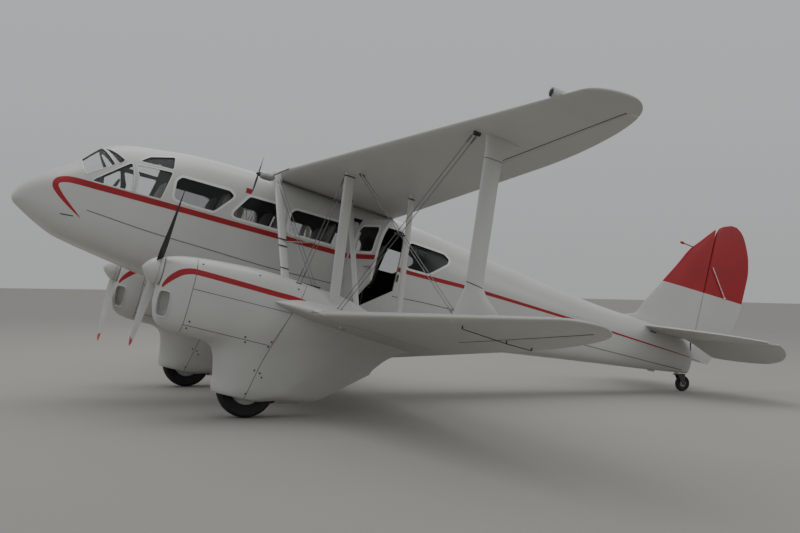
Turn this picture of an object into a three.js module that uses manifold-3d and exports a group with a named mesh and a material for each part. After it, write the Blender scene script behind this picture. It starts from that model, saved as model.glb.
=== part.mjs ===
// Twin-engined cabin biplane with faired wheels, parked on its main wheels and its tail wheel.
// The airframe is drawn in its own axes, in millimetres: x runs aft from the nose, y to starboard,
// z up, with z = 0 on the painted waist line. At the end it is pitched up to the ground angle.
import * as THREE from 'three';
import { mergeVertices } from 'three/addons/utils/BufferGeometryUtils.js';
import Module from 'manifold-3d';

const wasm = await Module();
wasm.setup();

// Driving dimensions
const seat = 0.3; // gap between two pieces that touch
const play = 7; // gap between pieces that move past each other
const port = -1;
const starboard = 1;
const mainWheel = { x: 2910, y: 1853, z: -1852, radius: 335, width: 195 };
const tailWheel = { x: 9833, z: -418, radius: 115, width: 62 };
const axleRadius = 30;
const wallThickness = 35;
const shellStart = 640;
const shellEnd = 5600;
const fuselageEnd = 9850;
const canopyRear = 1735;
const sill = 45; // lower edge of the canopy
const floorTop = -550;
const floorThickness = 25;
const rudderHingeX = 9870;
const elevatorHinge = { x: 9600, z: 250 };
const elevatorDroop = 25;
const innerStrutY = 2110;
const outerStrutY = 5350;
const thrustLine = -822;
const spinner = { tip: 1450, base: 1660, radius: 158 };

// Ground angle at which all three wheels stand on one level floor
const wheelBase = Math.hypot(tailWheel.x - mainWheel.x, tailWheel.z - mainWheel.z);
const wheelSlope = Math.atan2(tailWheel.z - mainWheel.z, tailWheel.x - mainWheel.x);
const groundAngle = wheelSlope + Math.asin((mainWheel.radius - tailWheel.radius) / wheelBase);
const degree = Math.PI / 180;

// Paint and materials
const paint = (color, roughness, metalness = 0) =>
  new THREE.MeshStandardMaterial({ color, roughness, metalness });
const white = paint(0xd9dad6, 0.35);
const red = paint(0x9c1419, 0.35);
const glass = paint(0x9fb4ba, 0.05);
const rubber = paint(0x151515, 0.85);
const steel = paint(0x8a8c8c, 0.4, 0.8);
const darkMetal = paint(0x3a3c3d, 0.5, 0.6);
const leather = paint(0x4a3a33, 0.6);
const carpet = paint(0x3a3d40, 0.9);

// Shape helpers

// Volume enclosed by an indexed mesh, negative when its faces point in
function signedVolume(positions, index) {
  const corner = (i) => new THREE.Vector3().fromArray(positions, 3 * index[i]);
  let total = 0;
  for (let i = 0; i < index.length; i += 3) {
    total += corner(i).dot(corner(i + 1).cross(corner(i + 2))) / 6;
  }
  return total;
}

// Turns vertex positions and triangle corners into a solid with its faces pointing out
function solid(positions, index) {
  const corners = Array.from(index);
  if (signedVolume(positions, corners) < 0) corners.reverse();
  const mesh = new wasm.Mesh({
    numProp: 3,
    vertProperties: Float32Array.from(positions),
    triVerts: Uint32Array.from(corners),
  });
  return new wasm.Manifold(mesh);
}

// Turns one of three.js's own geometries into a solid
function fromGeometry(geometry) {
  const bare = geometry.clone();
  for (const name of ['normal', 'uv']) bare.deleteAttribute(name);
  const merged = mergeVertices(bare, 1e-3);
  return solid(Array.from(merged.attributes.position.array), merged.index.array);
}

// Turns a solid back into a geometry
function toGeometry(shape) {
  const mesh = shape.getMesh();
  const geometry = new THREE.BufferGeometry();
  geometry.setAttribute('position', new THREE.BufferAttribute(mesh.vertProperties, 3));
  geometry.setIndex(new THREE.BufferAttribute(mesh.triVerts, 1));
  return geometry;
}

// Solid through a row of rings of [x, y, z] points, closed by a flat fan at each end
function loft(rings) {
  const sides = rings[0].length;
  const positions = rings.flat(2);
  const index = [];
  for (let row = 0; row + 1 < rings.length; row += 1) {
    for (let k = 0; k < sides; k += 1) {
      const a = row * sides + k;
      const b = row * sides + ((k + 1) % sides);
      index.push(a, b, b + sides, a, b + sides, a + sides);
    }
  }
  for (const row of [0, rings.length - 1]) {
    const hub = positions.length / 3;
    const middle = [0, 1, 2].map((axis) => rings[row].reduce((sum, p) => sum + p[axis], 0) / sides);
    positions.push(...middle);
    for (let k = 0; k < sides; k += 1) {
      const a = row * sides + k;
      const b = row * sides + ((k + 1) % sides);
      index.push(...(row === 0 ? [hub, b, a] : [hub, a, b]));
    }
  }
  return solid(positions, index);
}

// Box between two opposite corners
function block(low, high) {
  const size = high.map((value, axis) => value - low[axis]);
  const geometry = new THREE.BoxGeometry(...size);
  geometry.translate(...low.map((value, axis) => value + size[axis] / 2));
  return fromGeometry(geometry);
}

// Round bar between two points
function bar(from, to, radius, sides = 12, endRadius = radius) {
  const start = new THREE.Vector3(...from);
  const along = new THREE.Vector3(...to).sub(start);
  const geometry = new THREE.CylinderGeometry(endRadius, radius, along.length(), sides);
  geometry.translate(0, along.length() / 2, 0);
  geometry.applyQuaternion(
    new THREE.Quaternion().setFromUnitVectors(new THREE.Vector3(0, 1, 0), along.clone().normalize()),
  );
  geometry.translate(...from);
  return fromGeometry(geometry);
}

// Turned piece about the y axis, from a closed profile of [radius, height] points
function turned(profile, sides) {
  const points = profile.map(([radius, height]) => new THREE.Vector2(radius, height));
  return fromGeometry(new THREE.LatheGeometry([...points, points[0]], sides));
}

// Flat outline of [x, z] points, cut through from y = near to y = far
function plate(outline, near, far) {
  const shape = new THREE.Shape(outline.map(([x, z]) => new THREE.Vector2(x, z)));
  const geometry = new THREE.ExtrudeGeometry(shape, { depth: far - near, bevelEnabled: false });
  geometry.rotateX(Math.PI / 2);
  geometry.translate(0, far, 0);
  return fromGeometry(geometry);
}

// Value at x of a table's column, straight between rows; the first column is the position
function between(table, column, x) {
  const last = table.length - 1;
  let row = 0;
  while (row < last - 1 && table[row + 1][0] < x) row += 1;
  const [low, high] = [table[row], table[row + 1]];
  const share = THREE.MathUtils.clamp((x - low[0]) / (high[0] - low[0]), 0, 1);
  return low[column] + share * (high[column] - low[column]);
}

const joined = (...shapes) => shapes.reduce((whole, shape) => whole.add(shape));
const without = (shape, ...cutters) => cutters.reduce((rest, cutter) => rest.subtract(cutter), shape);

// Fuselage

// Station x, half width, top, bottom, widest level, power of the upper curve, of the lower curve
const fuselageStations = [
  [0, 40, -275, -350, -315, 2, 2],
  [25, 112, -215, -388, -300, 2.1, 2.2],
  [70, 180, -140, -418, -275, 2.2, 2.4],
  [150, 250, -52, -465, -235, 2.3, 2.7],
  [260, 325, 42, -525, -195, 2.4, 3],
  [400, 402, 142, -592, -145, 2.4, 3.4],
  [550, 468, 242, -652, -95, 2.4, 3.8],
  [680, 512, 345, -682, -60, 2.4, 4.2],
  [770, 540, 445, -698, -40, 2.35, 4.4],
  [860, 568, 530, -715, -20, 2.3, 4.6],
  [1050, 614, 622, -745, 0, 2.5, 4.8],
  [1260, 652, 664, -778, 0, 2.7, 5],
  [1600, 692, 706, -832, 0, 3, 5],
  [2000, 714, 750, -885, 0, 3.2, 5],
  [2500, 720, 764, -918, 0, 3.2, 5],
  [3200, 720, 762, -935, 0, 3.2, 5],
  [4200, 718, 722, -930, 0, 3.2, 5],
  [4900, 706, 680, -900, 0, 3, 5],
  [5600, 668, 606, -812, 0, 2.8, 5],
  [6500, 566, 508, -696, 0, 2.6, 4.6],
  [7000, 498, 452, -631, 0, 2.5, 4.4],
  [7500, 430, 402, -566, 0, 2.4, 4.2],
  [8300, 314, 346, -465, 0, 2.2, 3.8],
  [9100, 198, 318, -366, 0, 2.2, 3.4],
  [fuselageEnd, 88, 290, -262, 0, 2.2, 3],
];

// Point of a rounded box section, at a share of the turn that starts at starboard and rises
function sectionPoint(turn, halfWidth, top, bottom, middle, upperPower, lowerPower) {
  const [c, s] = [Math.cos(turn), Math.sin(turn)];
  const power = 2 / (s >= 0 ? upperPower : lowerPower);
  const reach = s >= 0 ? top - middle : middle - bottom;
  const across = halfWidth * Math.sign(c) * Math.abs(c) ** power;
  return [across, middle + reach * Math.sign(s) * Math.abs(s) ** power];
}

// Fuselage from one station to another, with its surface moved in by an inset
function fuselageBody(from, to, inset = 0, sides = 24) {
  const inner = fuselageStations.map((row) => row[0]).filter((x) => x > from && x < to);
  const rings = [from, ...inner, to].map((x) => {
    const at = (column) => between(fuselageStations, column, x);
    const ring = [];
    for (let k = 0; k < sides; k += 1) {
      const turn = (2 * Math.PI * k) / sides;
      const [y, z] = sectionPoint(
        turn, at(1) - inset, at(2) - inset, at(3) + inset, at(4), at(5), at(6),
      );
      ring.push([x, y, z]);
    }
    return ring;
  });
  return loft(rings);
}

// Windows in the cabin wall as [x, z] outlines, front to rear
const windowTop = 385;
const windowFoot = 88;
const cabinWindows = [
  [
    [1765, 105], [1755, 325], [1805, windowTop], [2405, windowTop], [2480, 335], [2270, windowFoot],
    [1990, windowFoot],
  ],
  [[2470, windowFoot], [2665, windowTop], [3035, windowTop], [3085, 335], [3085, windowFoot]],
  [[3220, windowFoot], [3220, 335], [3270, windowTop], [3865, windowTop], [3915, 335], [3915, windowFoot]],
];
const doorWindow = [[4135, 75], [4135, 345], [4185, 400], [4600, 400], [4650, 345], [4650, 75]];
const aftWindow = [[4860, 60], [4850, 395], [5370, 372], [5455, 320], [5440, 255], [5200, 62]];
const doorOutline = [[4050, -555], [4050, 500], [4755, 500], [4755, -270], [4385, -555]];
const doorHinge = { x: 4046, y: -738 };
const doorAngle = 82;

// Canopy panes on each side as [x, z] outlines
const sidePanes = [
  [[800, 62], [1185, 385], [1212, 388], [1258, 230], [1272, 62]],
  [[1325, 60], [1330, 235], [1255, 392], [1690, 412], [1622, 60]],
  [[1292, 446], [1322, 474], [1400, 533], [1690, 615], [1690, 450]],
];

// Outline moved outwards from its middle by a margin
function grown(outline, margin) {
  const middle = [0, 1].map((axis) => outline.reduce((sum, p) => sum + p[axis], 0) / outline.length);
  return outline.map((p) => p.map((value, axis) => value + margin * Math.sign(value - middle[axis])));
}

const wide = 1000; // past the fuselage on either side
const shellWhole = fuselageBody(shellStart + seat, shellEnd)
  .subtract(fuselageBody(shellStart - 1, shellEnd + 1, wallThickness));
const canopyZone = block([0, -wide, sill], [canopyRear, wide, wide]);
const canopyZoneWide = block([0, -wide, sill - seat], [canopyRear + seat, wide, wide]);

// Corners [x, y, z] on the skin of the slanted panes of one side, the windscreen and the narrow pane
// behind it, and the way they face
const slantedPanes = [
  [[668, 28, 338], [850, 28, 520], [1035, 555, 318], [728, 500, 112]],
  [[868, 150, 504], [1140, 545, 400], [1068, 560, 336]],
];
const paneFacing = [-0.584, 0.437, 0.683];
const paneReach = { outward: 130, inward: 60 };

function slantedCutter(corners, side) {
  const rings = [paneReach.outward, -paneReach.inward].map((reach) => corners.map(
    (corner) => corner.map((value, axis) => (axis === 1 ? side : 1) * (value + reach * paneFacing[axis])),
  ));
  return loft(rings);
}

function canopy() {
  const panes = sidePanes.map((outline) => plate(outline, -wide, wide));
  for (const corners of slantedPanes) {
    for (const side of [port, starboard]) panes.push(slantedCutter(corners, side));
  }
  return without(shellWhole.intersect(canopyZone), ...panes);
}

// Knuckles of the door hinge: level of the middle of each
const hingeLevels = [330, -330];
const knuckle = { radius: 11, height: 60 };

function hingeKnuckle(level, low, high, reach) {
  const { x, y } = doorHinge;
  const pin = bar([x, y, level + low], [x, y, level + high], knuckle.radius);
  const leafY = [y + 2, y + 60];
  const xs = [x, x + reach].sort((a, b) => a - b);
  const leaf = block([xs[0], leafY[0], level + low], [xs[1], leafY[1], level + high]);
  return pin.add(leaf);
}

function fuselageShell() {
  const half = knuckle.height / 2;
  let shell = shellWhole.subtract(canopyZoneWide);
  for (const outline of [...cabinWindows, aftWindow]) {
    shell = shell.subtract(plate(outline, -wide, wide));
  }
  shell = without(
    shell,
    plate(doorWindow, 0, wide),
    plate(grown(doorOutline, play), -wide, 0),
  );
  for (const level of hingeLevels) {
    const ears = [[half + seat, half + 22], [-half - 22, -half - seat]];
    for (const [low, high] of ears) shell = shell.add(hingeKnuckle(level, low, high, -14));
  }
  return shell;
}

// Door, drawn shut and then swung out about its hinge
function doorPanel() {
  const half = knuckle.height / 2;
  let panel = shellWhole.intersect(plate(doorOutline, -wide, 0)).subtract(plate(doorWindow, -wide, 0));
  for (const level of hingeLevels) panel = panel.add(hingeKnuckle(level, -half, half, 22));
  return panel;
}

// Strip of glazing that lines the inside of the wall over an outline
function lining(outline, near, far) {
  const glassThickness = 8;
  const strip = fuselageBody(shellStart + 5, shellEnd - 5, wallThickness + seat)
    .subtract(fuselageBody(shellStart, shellEnd, wallThickness + seat + glassThickness));
  return strip.intersect(plate(outline, near, far));
}

const glassMargin = 25;
const band = (from, to, low, high) => [[from, low], [to, low], [to, high], [from, high]];
const glassFoot = windowFoot - glassMargin;
const glassTop = windowTop + glassMargin;
const glassFront = 1755 - 15;
const glassRear = 5480;

// Cockpit and cabin fittings
function seatShape(x, y, width, depth, cushionTop, backTop) {
  const [low, high] = [y - width / 2, y + width / 2];
  const base = floorTop + seat;
  const pedestal = block([x - 150, y - 130, base], [x + 150, y + 130, cushionTop - 90]);
  const cushion = block([x - depth / 2, low, cushionTop - 110], [x + depth / 2, high, cushionTop]);
  // front x, thickness, inset of each side and level of the back's foot and top
  const backLevels = [[x + 130, 100, 0, cushionTop - 60], [x + 250, 70, 50, backTop]];
  const back = loft(backLevels.map(([front, thickness, inset, z]) => [
    [front, low + inset, z], [front + thickness, low + inset, z],
    [front + thickness, high - inset, z], [front, high - inset, z],
  ]));
  return joined(pedestal, cushion, back);
}

const cabinSeat = { y: 400, width: 430, depth: 440, cushionTop: -130, backTop: 370 };
const seatRows = { port: [2150, 2900, 3560], starboard: [2150, 2900, 3650, 4560] };

function cabinSeats(side, rows) {
  const seats = rows.map((x) => seatShape(
    x, side * cabinSeat.y, cabinSeat.width, cabinSeat.depth, cabinSeat.cushionTop, cabinSeat.backTop,
  ));
  const rail = block(
    [rows[0] - 150, side * cabinSeat.y - 40, floorTop + seat],
    [rows.at(-1) + 150, side * cabinSeat.y + 40, floorTop + 40],
  );
  return joined(rail, ...seats);
}

const inner = fuselageBody(shellStart + 4, shellEnd - seat, wallThickness + seat);

function cabinFloor() {
  const board = block([shellStart + 5, -wide, floorTop - floorThickness], [shellEnd - seat, wide, floorTop]);
  const foot = floorTop - 5;
  const section = [[930, foot], [930, 20], [905, 215], [935, 215], [965, 20], [990, foot]];
  const panel = plate(section, -430, 430);
  return inner.intersect(joined(board, panel));
}

function pilotSeat() {
  return seatShape(1420, 0, 460, 420, -190, 330);
}

// Wings

// y is the distance from the centre line; lead, level and chord are given at y = root
const root = 700;
const incidence = 4.5 * degree;
// Distance y, and how far the root fairing stands ahead of the leading edge
const rootFairing = [[2200, 407], [2300, 280], [2380, 150], [2450, 50], [2520, 0]];
// The edges round in from frontTurn and rearTurn to the pole, which is the x of the wing's tip
const wings = {
  upper: {
    lead: 2967, level: 808, chord: 1660, sweep: 0.086, dihedral: 0.042, taper: 0.143,
    frontTurn: 7090, rearTurn: 4900, tip: 7320, pole: 3850,
  },
  lower: {
    lead: 3183, level: -952, chord: 1830, sweep: 0.096, dihedral: 0.052, taper: 0.185,
    frontTurn: 7020, rearTurn: 4900, tip: 7285, pole: 4050, fairing: rootFairing,
  },
};
const tipRoundness = 0.42;
const thicknessRatio = 0.115;
const camberRatio = 0.022;
const camberPlace = 0.35;
const trailingHalf = 3;
const sectionSteps = 7;

// Share of the full width that an edge keeps at y, as it rounds in from its turn to the tip
function tipShare(y, turn, tip) {
  const beyond = THREE.MathUtils.clamp((y - turn) / (tip - turn), 0, 1);
  return (1 - beyond ** 2) ** tipRoundness;
}

// Leading edge x, chord and level of a wing at a distance y from the centre line
function planform(wing, y) {
  const lead = wing.lead + wing.sweep * (y - root);
  const rear = lead + wing.chord - wing.taper * (y - root);
  const level = wing.level + wing.dihedral * (y - root);
  const ahead = wing.fairing && y >= mainWheel.y ? between(wing.fairing, 1, y) : 0;
  const front = wing.pole - (wing.pole - lead) * tipShare(y, wing.frontTurn, wing.tip) - ahead;
  const back = wing.pole + (rear - wing.pole) * tipShare(y, wing.rearTurn, wing.tip);
  return { lead: front, chord: back - front, level: level + ahead * Math.tan(incidence) };
}

// Half thickness and camber of the section at a share of the chord
function profileAt(share) {
  const poly = 0.2969 * Math.sqrt(share) - 0.126 * share - 0.3516 * share ** 2
    + 0.2843 * share ** 3 - 0.1036 * share ** 4;
  const camber = share < camberPlace
    ? (camberRatio * share * (2 * camberPlace - share)) / camberPlace ** 2
    : (camberRatio * (1 - 2 * camberPlace + 2 * camberPlace * share - share ** 2)) / (1 - camberPlace) ** 2;
  return { half: 5 * thicknessRatio * poly, camber };
}

// Upper and lower surface points of a wing at a distance y and a share of the chord
function wingSurface(wing, y, share, grow = 0) {
  const { lead, chord, level } = planform(wing, y);
  const { half, camber } = profileAt(share);
  const along = share * chord + grow * (2 * share - 1);
  return [1, -1].map((face) => {
    const up = chord * (camber + face * half) + face * (trailingHalf * share + grow);
    return {
      x: lead + along * Math.cos(incidence) + up * Math.sin(incidence),
      z: level - along * Math.sin(incidence) + up * Math.cos(incidence),
    };
  });
}

function wingRing(wing, y, side, grow) {
  const upper = [];
  const lower = [];
  for (let k = 0; k <= sectionSteps; k += 1) {
    const share = (1 - Math.cos((Math.PI * k) / sectionSteps)) / 2;
    const [top, bottom] = wingSurface(wing, y, share, grow);
    upper.push([top.x, side * y, top.z]);
    lower.push([bottom.x, side * y, bottom.z]);
  }
  return [...upper.reverse(), ...lower];
}

// Distances from one to another at which a wing has a ring, the last ones closing its round tip
function spanStops(wing, from, to = Infinity) {
  const tipShares = [0, 0.25, 0.46, 0.62, 0.75, 0.83, 0.88, 0.92, 0.955, 0.98, 0.993, 0.999];
  const stops = [
    ...(wing.fairing ?? []).map((row) => row[0]),
    ...tipShares.map((share) => wing.rearTurn + share * (wing.tip - wing.rearTurn)),
  ];
  return [from, ...stops.filter((y) => y > from && y < to), ...(to < Infinity ? [to] : [])];
}

// Wing from one distance to another on one side
function wingPanel(wing, side, from, to = Infinity, grow = 0) {
  return loft(spanStops(wing, from, to).map((y) => wingRing(wing, y, side, grow)));
}

function wingCentre(wing, half, grow = 0) {
  const rings = [[-half, port], [-1, port], [1, starboard], [half, starboard]];
  return loft(rings.map(([y, side]) => wingRing(wing, Math.abs(y), side, grow)));
}

// Ailerons: the hinge line runs straight from the inner to the outer end
const ailerons = {
  upper: { inner: { y: 4250, x: 4139 }, outer: { y: 7060, x: 3978 } },
  lower: { inner: { y: 4250, x: 4339 }, outer: { y: 7020, x: 4151 } },
};
const aileronEndGap = 16; // beyond each end, where the slanted hinge line swings the ends outwards

// Middle level and half thickness of a wing at a distance y and a station x
function wingAt(wing, y, x) {
  const { lead, chord } = planform(wing, y);
  const [top, bottom] = wingSurface(wing, y, (x - lead) / (chord * Math.cos(incidence)));
  return { z: (top.z + bottom.z) / 2, half: (top.z - bottom.z) / 2 };
}

// Space swept behind a hinge line: round in front of the hinge, open behind it
function hingeZone(wing, ends, side, margin, endMargin) {
  const slope = (ends.outer.x - ends.inner.x) / (ends.outer.y - ends.inner.y);
  const distances = spanStops(wing, ends.inner.y - endMargin, ends.outer.y + endMargin);
  const rings = distances.map((y) => {
    const x = ends.inner.x + slope * (y - ends.inner.y);
    const { z, half } = wingAt(wing, y, x);
    const radius = half + margin;
    const ring = [[x + 900, side * y, z + radius + 60]];
    for (let k = 0; k <= 6; k += 1) {
      const turn = (Math.PI * k) / 6;
      ring.push([x - radius * Math.sin(turn), side * y, z + radius * Math.cos(turn)]);
    }
    ring.push([x + 900, side * y, z - radius - 60]);
    return ring;
  });
  return loft(rings);
}

// Hinge pins that reach from the ends of a surface to what carries it
function endPins(inner, outer, length, radius = 5) {
  const direction = new THREE.Vector3(...outer).sub(new THREE.Vector3(...inner)).normalize();
  const step = (point, distance) => new THREE.Vector3(...point)
    .addScaledVector(direction, distance).toArray();
  return joined(
    bar(step(inner, -length), step(inner, 12), radius, 8),
    bar(step(outer, -12), step(outer, length), radius, 8),
  );
}

function hingePoint(wing, end, side) {
  return [end.x, side * end.y, wingAt(wing, end.y, end.x).z];
}

function aileron(kind, side) {
  const wing = wings[kind];
  const ends = ailerons[kind];
  const panel = wingPanel(wing, side, root).intersect(hingeZone(wing, ends, side, 0, 0));
  const [inner, outer] = [ends.inner, ends.outer].map((end) => hingePoint(wing, end, side));
  return panel.add(endPins(inner, outer, aileronEndGap - 2 * seat));
}

const landingLamp = { y: 6780, radius: 42, length: 205, reach: 58, rise: 12 };
const centreHalf = 750;
const jackPad = { radius: 45, depth: 14, y: innerStrutY + 260, share: 0.3 };

// Lamp housing let into the leading edge of an upper wing
function lampHousing(side) {
  const { y, radius, length, reach, rise } = landingLamp;
  const { lead, level } = planform(wings.upper, y);
  const front = [lead - reach, side * y, level + rise];
  return bar(front, [lead + length - reach, side * y, level + rise], radius, 16, radius / 2);
}

function upperWing(side) {
  const panel = wingPanel(wings.upper, side, centreHalf + seat);
  const cut = hingeZone(wings.upper, ailerons.upper, side, play, aileronEndGap);
  return panel.subtract(cut).add(lampHousing(side));
}

// Nacelles and wheel fairings, drawn about their own centre line

// Station x, half width, top, bottom
const nacelleStations = [
  [1668, 168, -660, -1180],
  [1682, 180, -652, -1240],
  [1715, 204, -638, -1339],
  [1820, 254, -606, -1415],
  [1950, 288, -580, -1443],
  [2300, 318, -545, -1448],
  [2800, 330, -522, -1465],
  [3150, 330, -535, -1400],
  [3450, 318, -558, -1300],
  [3800, 286, -592, -1220],
  [4300, 206, -745, -1120],
  [4860, 70, -935, -1012],
];

// Level z, front x, rear x, half width of the wheel fairing
const fairingLevels = [
  [-940, 2340, 4990, 262],
  [-1150, 2362, 4580, 262],
  [-1340, 2388, 4370, 256],
  [-1550, 2430, 4110, 244],
  [-1720, 2472, 3900, 232],
  [-1850, 2508, 3690, 222],
  [-1930, 2522, 3380, 208],
  [-1975, 2540, 3200, 190],
];

function nacelleLoft(inset = 0, from = -Infinity, to = Infinity, sides = 18) {
  const first = nacelleStations[0][0];
  const last = nacelleStations.at(-1)[0];
  const [start, end] = [Math.max(from, first), Math.min(to, last)];
  const middles = nacelleStations.map((row) => row[0]).filter((x) => x > start && x < end);
  const rings = [start, ...middles, end].map((x) => {
    const [halfWidth, top, bottom] = [1, 2, 3].map((column) => between(nacelleStations, column, x));
    const ring = [];
    for (let k = 0; k < sides; k += 1) {
      const turn = (2 * Math.PI * k) / sides;
      const middle = top + 0.42 * (bottom - top);
      const [y, z] = sectionPoint(turn, halfWidth - inset, top - inset, bottom + inset, middle, 2.5, 3);
      ring.push([x, y, z]);
    }
    return ring;
  });
  return loft(rings);
}

// Streamlined outline: shares of the chord and the half thickness there
const streamline = [
  [0, 0], [0.015, 0.36], [0.05, 0.62], [0.12, 0.84], [0.3, 1], [0.6, 0.88], [0.82, 0.5], [1, 0.05],
];

function streamlinedRing(front, rear, halfWidth, z, y = 0) {
  const side = (face) => streamline.map(([share, half]) => [
    front + share * (rear - front), y + face * half * halfWidth, z,
  ]);
  const [right, left] = [side(1), side(-1)];
  return [...right, ...left.slice(1).reverse()];
}

function wheelFairing(grow = 0) {
  const foot = fairingLevels.at(-1)[0];
  return loft(fairingLevels.map(([z, front, rear, halfWidth]) => streamlinedRing(
    front - grow, rear + grow, halfWidth + grow, z === foot ? z - grow : z,
  )));
}

const nacelleBody = (inset = 0) => nacelleLoft(inset).add(wheelFairing(-inset));

// Engine bay and the block that stands for the engine
const cowlSkin = 22;
const bayFront = 1704;
const bayRear = 2960;
const cowlFloor = -1330;
const cowlRing = 2000; // rear edge of the nose ring
const cowlSeam = { x: 3118, z: -972, slope: 0.354 }; // rear edge of the cowling, leaning forward downwards
const engine = { front: 1850, width: 290, top: -722, bottom: cowlFloor + cowlSkin + seat };
const wheelWell = { radius: mainWheel.radius + 17, width: mainWheel.width + 30 };
// turn is how far the intake's opening faces forward from straight out to port
const intake = { x: 1757, y: -165, z: -1161, halfLength: 76, halfHeight: 142, turn: 27, reach: 150 };
const shaftRadius = 34;

function engineBay() {
  const bay = nacelleLoft(cowlSkin, bayFront, bayRear);
  return bay.intersect(block([0, -wide, cowlFloor + cowlSkin], [wide * 4, wide, 0]));
}

// Air intake with rounded corners, always on the port side of the nose
function intakeCutter() {
  const { x, y, z, halfLength, halfHeight, turn, reach } = intake;
  const sides = 24;
  const ring = Array.from({ length: sides }, (_, k) => sectionPoint(
    (2 * Math.PI * k) / sides, halfLength, halfHeight, -halfHeight, 0, 4, 4,
  ));
  return loft([-reach, reach].map((depth) => ring.map(([along, up]) => [along, depth, up])))
    .rotate([0, 0, -turn]).translate([x, y, z]);
}

const cowlZone = (grow) => {
  const seamAt = (z) => cowlSeam.x + cowlSeam.slope * (z - cowlSeam.z) + grow;
  const foot = cowlFloor - grow;
  const panels = [[cowlRing - 20, foot], [seamAt(foot), foot], [seamAt(0), 0], [cowlRing - 20, 0]];
  return joined(block([0, -wide, -wide * 3], [cowlRing + grow, wide, 0]), plate(panels, -wide, wide));
};

const moved = (shape, side) => shape.translate([0, side * mainWheel.y, 0]);

function cowling(side) {
  const shaftHole = bar([1500, 0, thrustLine], [1800, 0, thrustLine], shaftRadius + play, 20);
  const shape = without(nacelleBody().intersect(cowlZone(0)), engineBay(), intakeCutter(), shaftHole);
  return moved(shape, side);
}

function engineBlock(side) {
  const shape = block(
    [engine.front, -engine.width / 2, engine.bottom],
    [bayRear - seat, engine.width / 2, engine.top],
  );
  return moved(shape, side);
}

function nacelle(side) {
  const well = bar(
    [mainWheel.x, -wheelWell.width / 2, mainWheel.z],
    [mainWheel.x, wheelWell.width / 2, mainWheel.z], wheelWell.radius, 32,
  );
  const axle = bar(
    [mainWheel.x, -wheelWell.width / 2 - 10, mainWheel.z],
    [mainWheel.x, wheelWell.width / 2 + 10, mainWheel.z], axleRadius, 24,
  );
  const collars = [port, starboard].map((end) => bar(
    [mainWheel.x, end * (wheelWell.width / 2 + 10), mainWheel.z],
    [mainWheel.x, end * (hubHalf + seat), mainWheel.z], axleRadius + 22, 24,
  ));
  const shape = nacelleBody().subtract(cowlZone(seat)).subtract(well);
  return moved(joined(shape, axle, ...collars), side);
}

// Lower wings, cut where they meet the fuselage and the nacelles
const nacelleCutter = (side) => moved(nacelleBody(-seat), side);

function lowerCentre() {
  const panel = wingCentre(wings.lower, mainWheel.y - seat);
  return without(panel, fuselageBody(0, fuselageEnd, -seat), nacelleCutter(port), nacelleCutter(starboard));
}

function lowerWing(side) {
  const panel = wingPanel(wings.lower, side, mainWheel.y + seat);
  const cut = hingeZone(wings.lower, ailerons.lower, side, play, aileronEndGap);
  const [, under] = wingSurface(wings.lower, jackPad.y, jackPad.share);
  const pad = bar(
    [under.x, side * jackPad.y, under.z + 25],
    [under.x, side * jackPad.y, under.z - jackPad.depth], jackPad.radius, 16,
  );
  return without(panel, cut, nacelleCutter(side)).add(pad);
}

function upperCentre() {
  return wingCentre(wings.upper, centreHalf).subtract(fuselageBody(0, fuselageEnd, -seat));
}

// Struts: their ends, and the chord and thickness of the streamlined section
const struts = {
  front_strut: {
    top: [3395, innerStrutY, 845], bottom: [3608, innerStrutY, -860], chord: 125, thickness: 46,
  },
  rear_strut: {
    top: [4192, innerStrutY, 800], bottom: [4427, innerStrutY, -900], chord: 72, thickness: 34,
  },
  front_brace: { top: [2882, 800, 760], bottom: [3066, 1760, -560], chord: 70, thickness: 32 },
  rear_brace: { top: [3852, 800, 760], bottom: [3980, 2000, -900], chord: 72, thickness: 34 },
};
const outerStrut = {
  thickness: 50,
  // level z, centre x, chord
  levels: [
    [1010, 3796, 540], [945, 3758, 436], [890, 3699, 285], [840, 3671, 215], [760, 3657, 177],
    [-230, 3814, 143], [-375, 3811, 157], [-470, 3823, 253], [-560, 3851, 390], [-640, 3867, 472],
    [-760, 3888, 570],
  ],
};
const wingCutters = (side) => [
  wingPanel(wings.upper, side, centreHalf, Infinity, seat),
  wingPanel(wings.lower, side, mainWheel.y, Infinity, seat),
];

function strutRing([x, y, z], chord, thickness, side) {
  return streamlinedRing(x - chord * 0.4, x + chord * 0.6, thickness / 2, z, side * y);
}

// Keeps the largest of the separate pieces that a cut leaves
function largest(shape) {
  return shape.decompose().sort((a, b) => b.volume() - a.volume())[0];
}

function strut(name, side) {
  const { top, bottom, chord, thickness } = struts[name];
  const shape = loft([strutRing(top, chord, thickness, side), strutRing(bottom, chord, thickness, side)]);
  return largest(without(
    shape, ...wingCutters(side), wingCentre(wings.upper, centreHalf + 60, seat),
    fuselageBody(0, fuselageEnd, -seat), nacelleCutter(side),
  ));
}

function outerStrutShape(side) {
  const rings = outerStrut.levels.map(
    ([z, x, chord]) => strutRing([x, outerStrutY, z], chord, outerStrut.thickness, side),
  );
  return largest(without(loft(rings), ...wingCutters(side)));
}

// Nearest points of two straight lines, each given by two points
function nearest(first, second) {
  const [a, b, c, d] = [...first, ...second].map((p) => new THREE.Vector3(...p));
  const [u, v, w] = [b.clone().sub(a), d.clone().sub(c), a.clone().sub(c)];
  const [uu, uv, vv, uw, vw] = [u.dot(u), u.dot(v), v.dot(v), u.dot(w), v.dot(w)];
  const spread = uu * vv - uv * uv;
  const [s, t] = [(uv * vw - vv * uw) / spread, (uu * vw - uv * uw) / spread];
  return [a.addScaledVector(u, s).toArray(), c.addScaledVector(v, t).toArray()];
}

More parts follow.
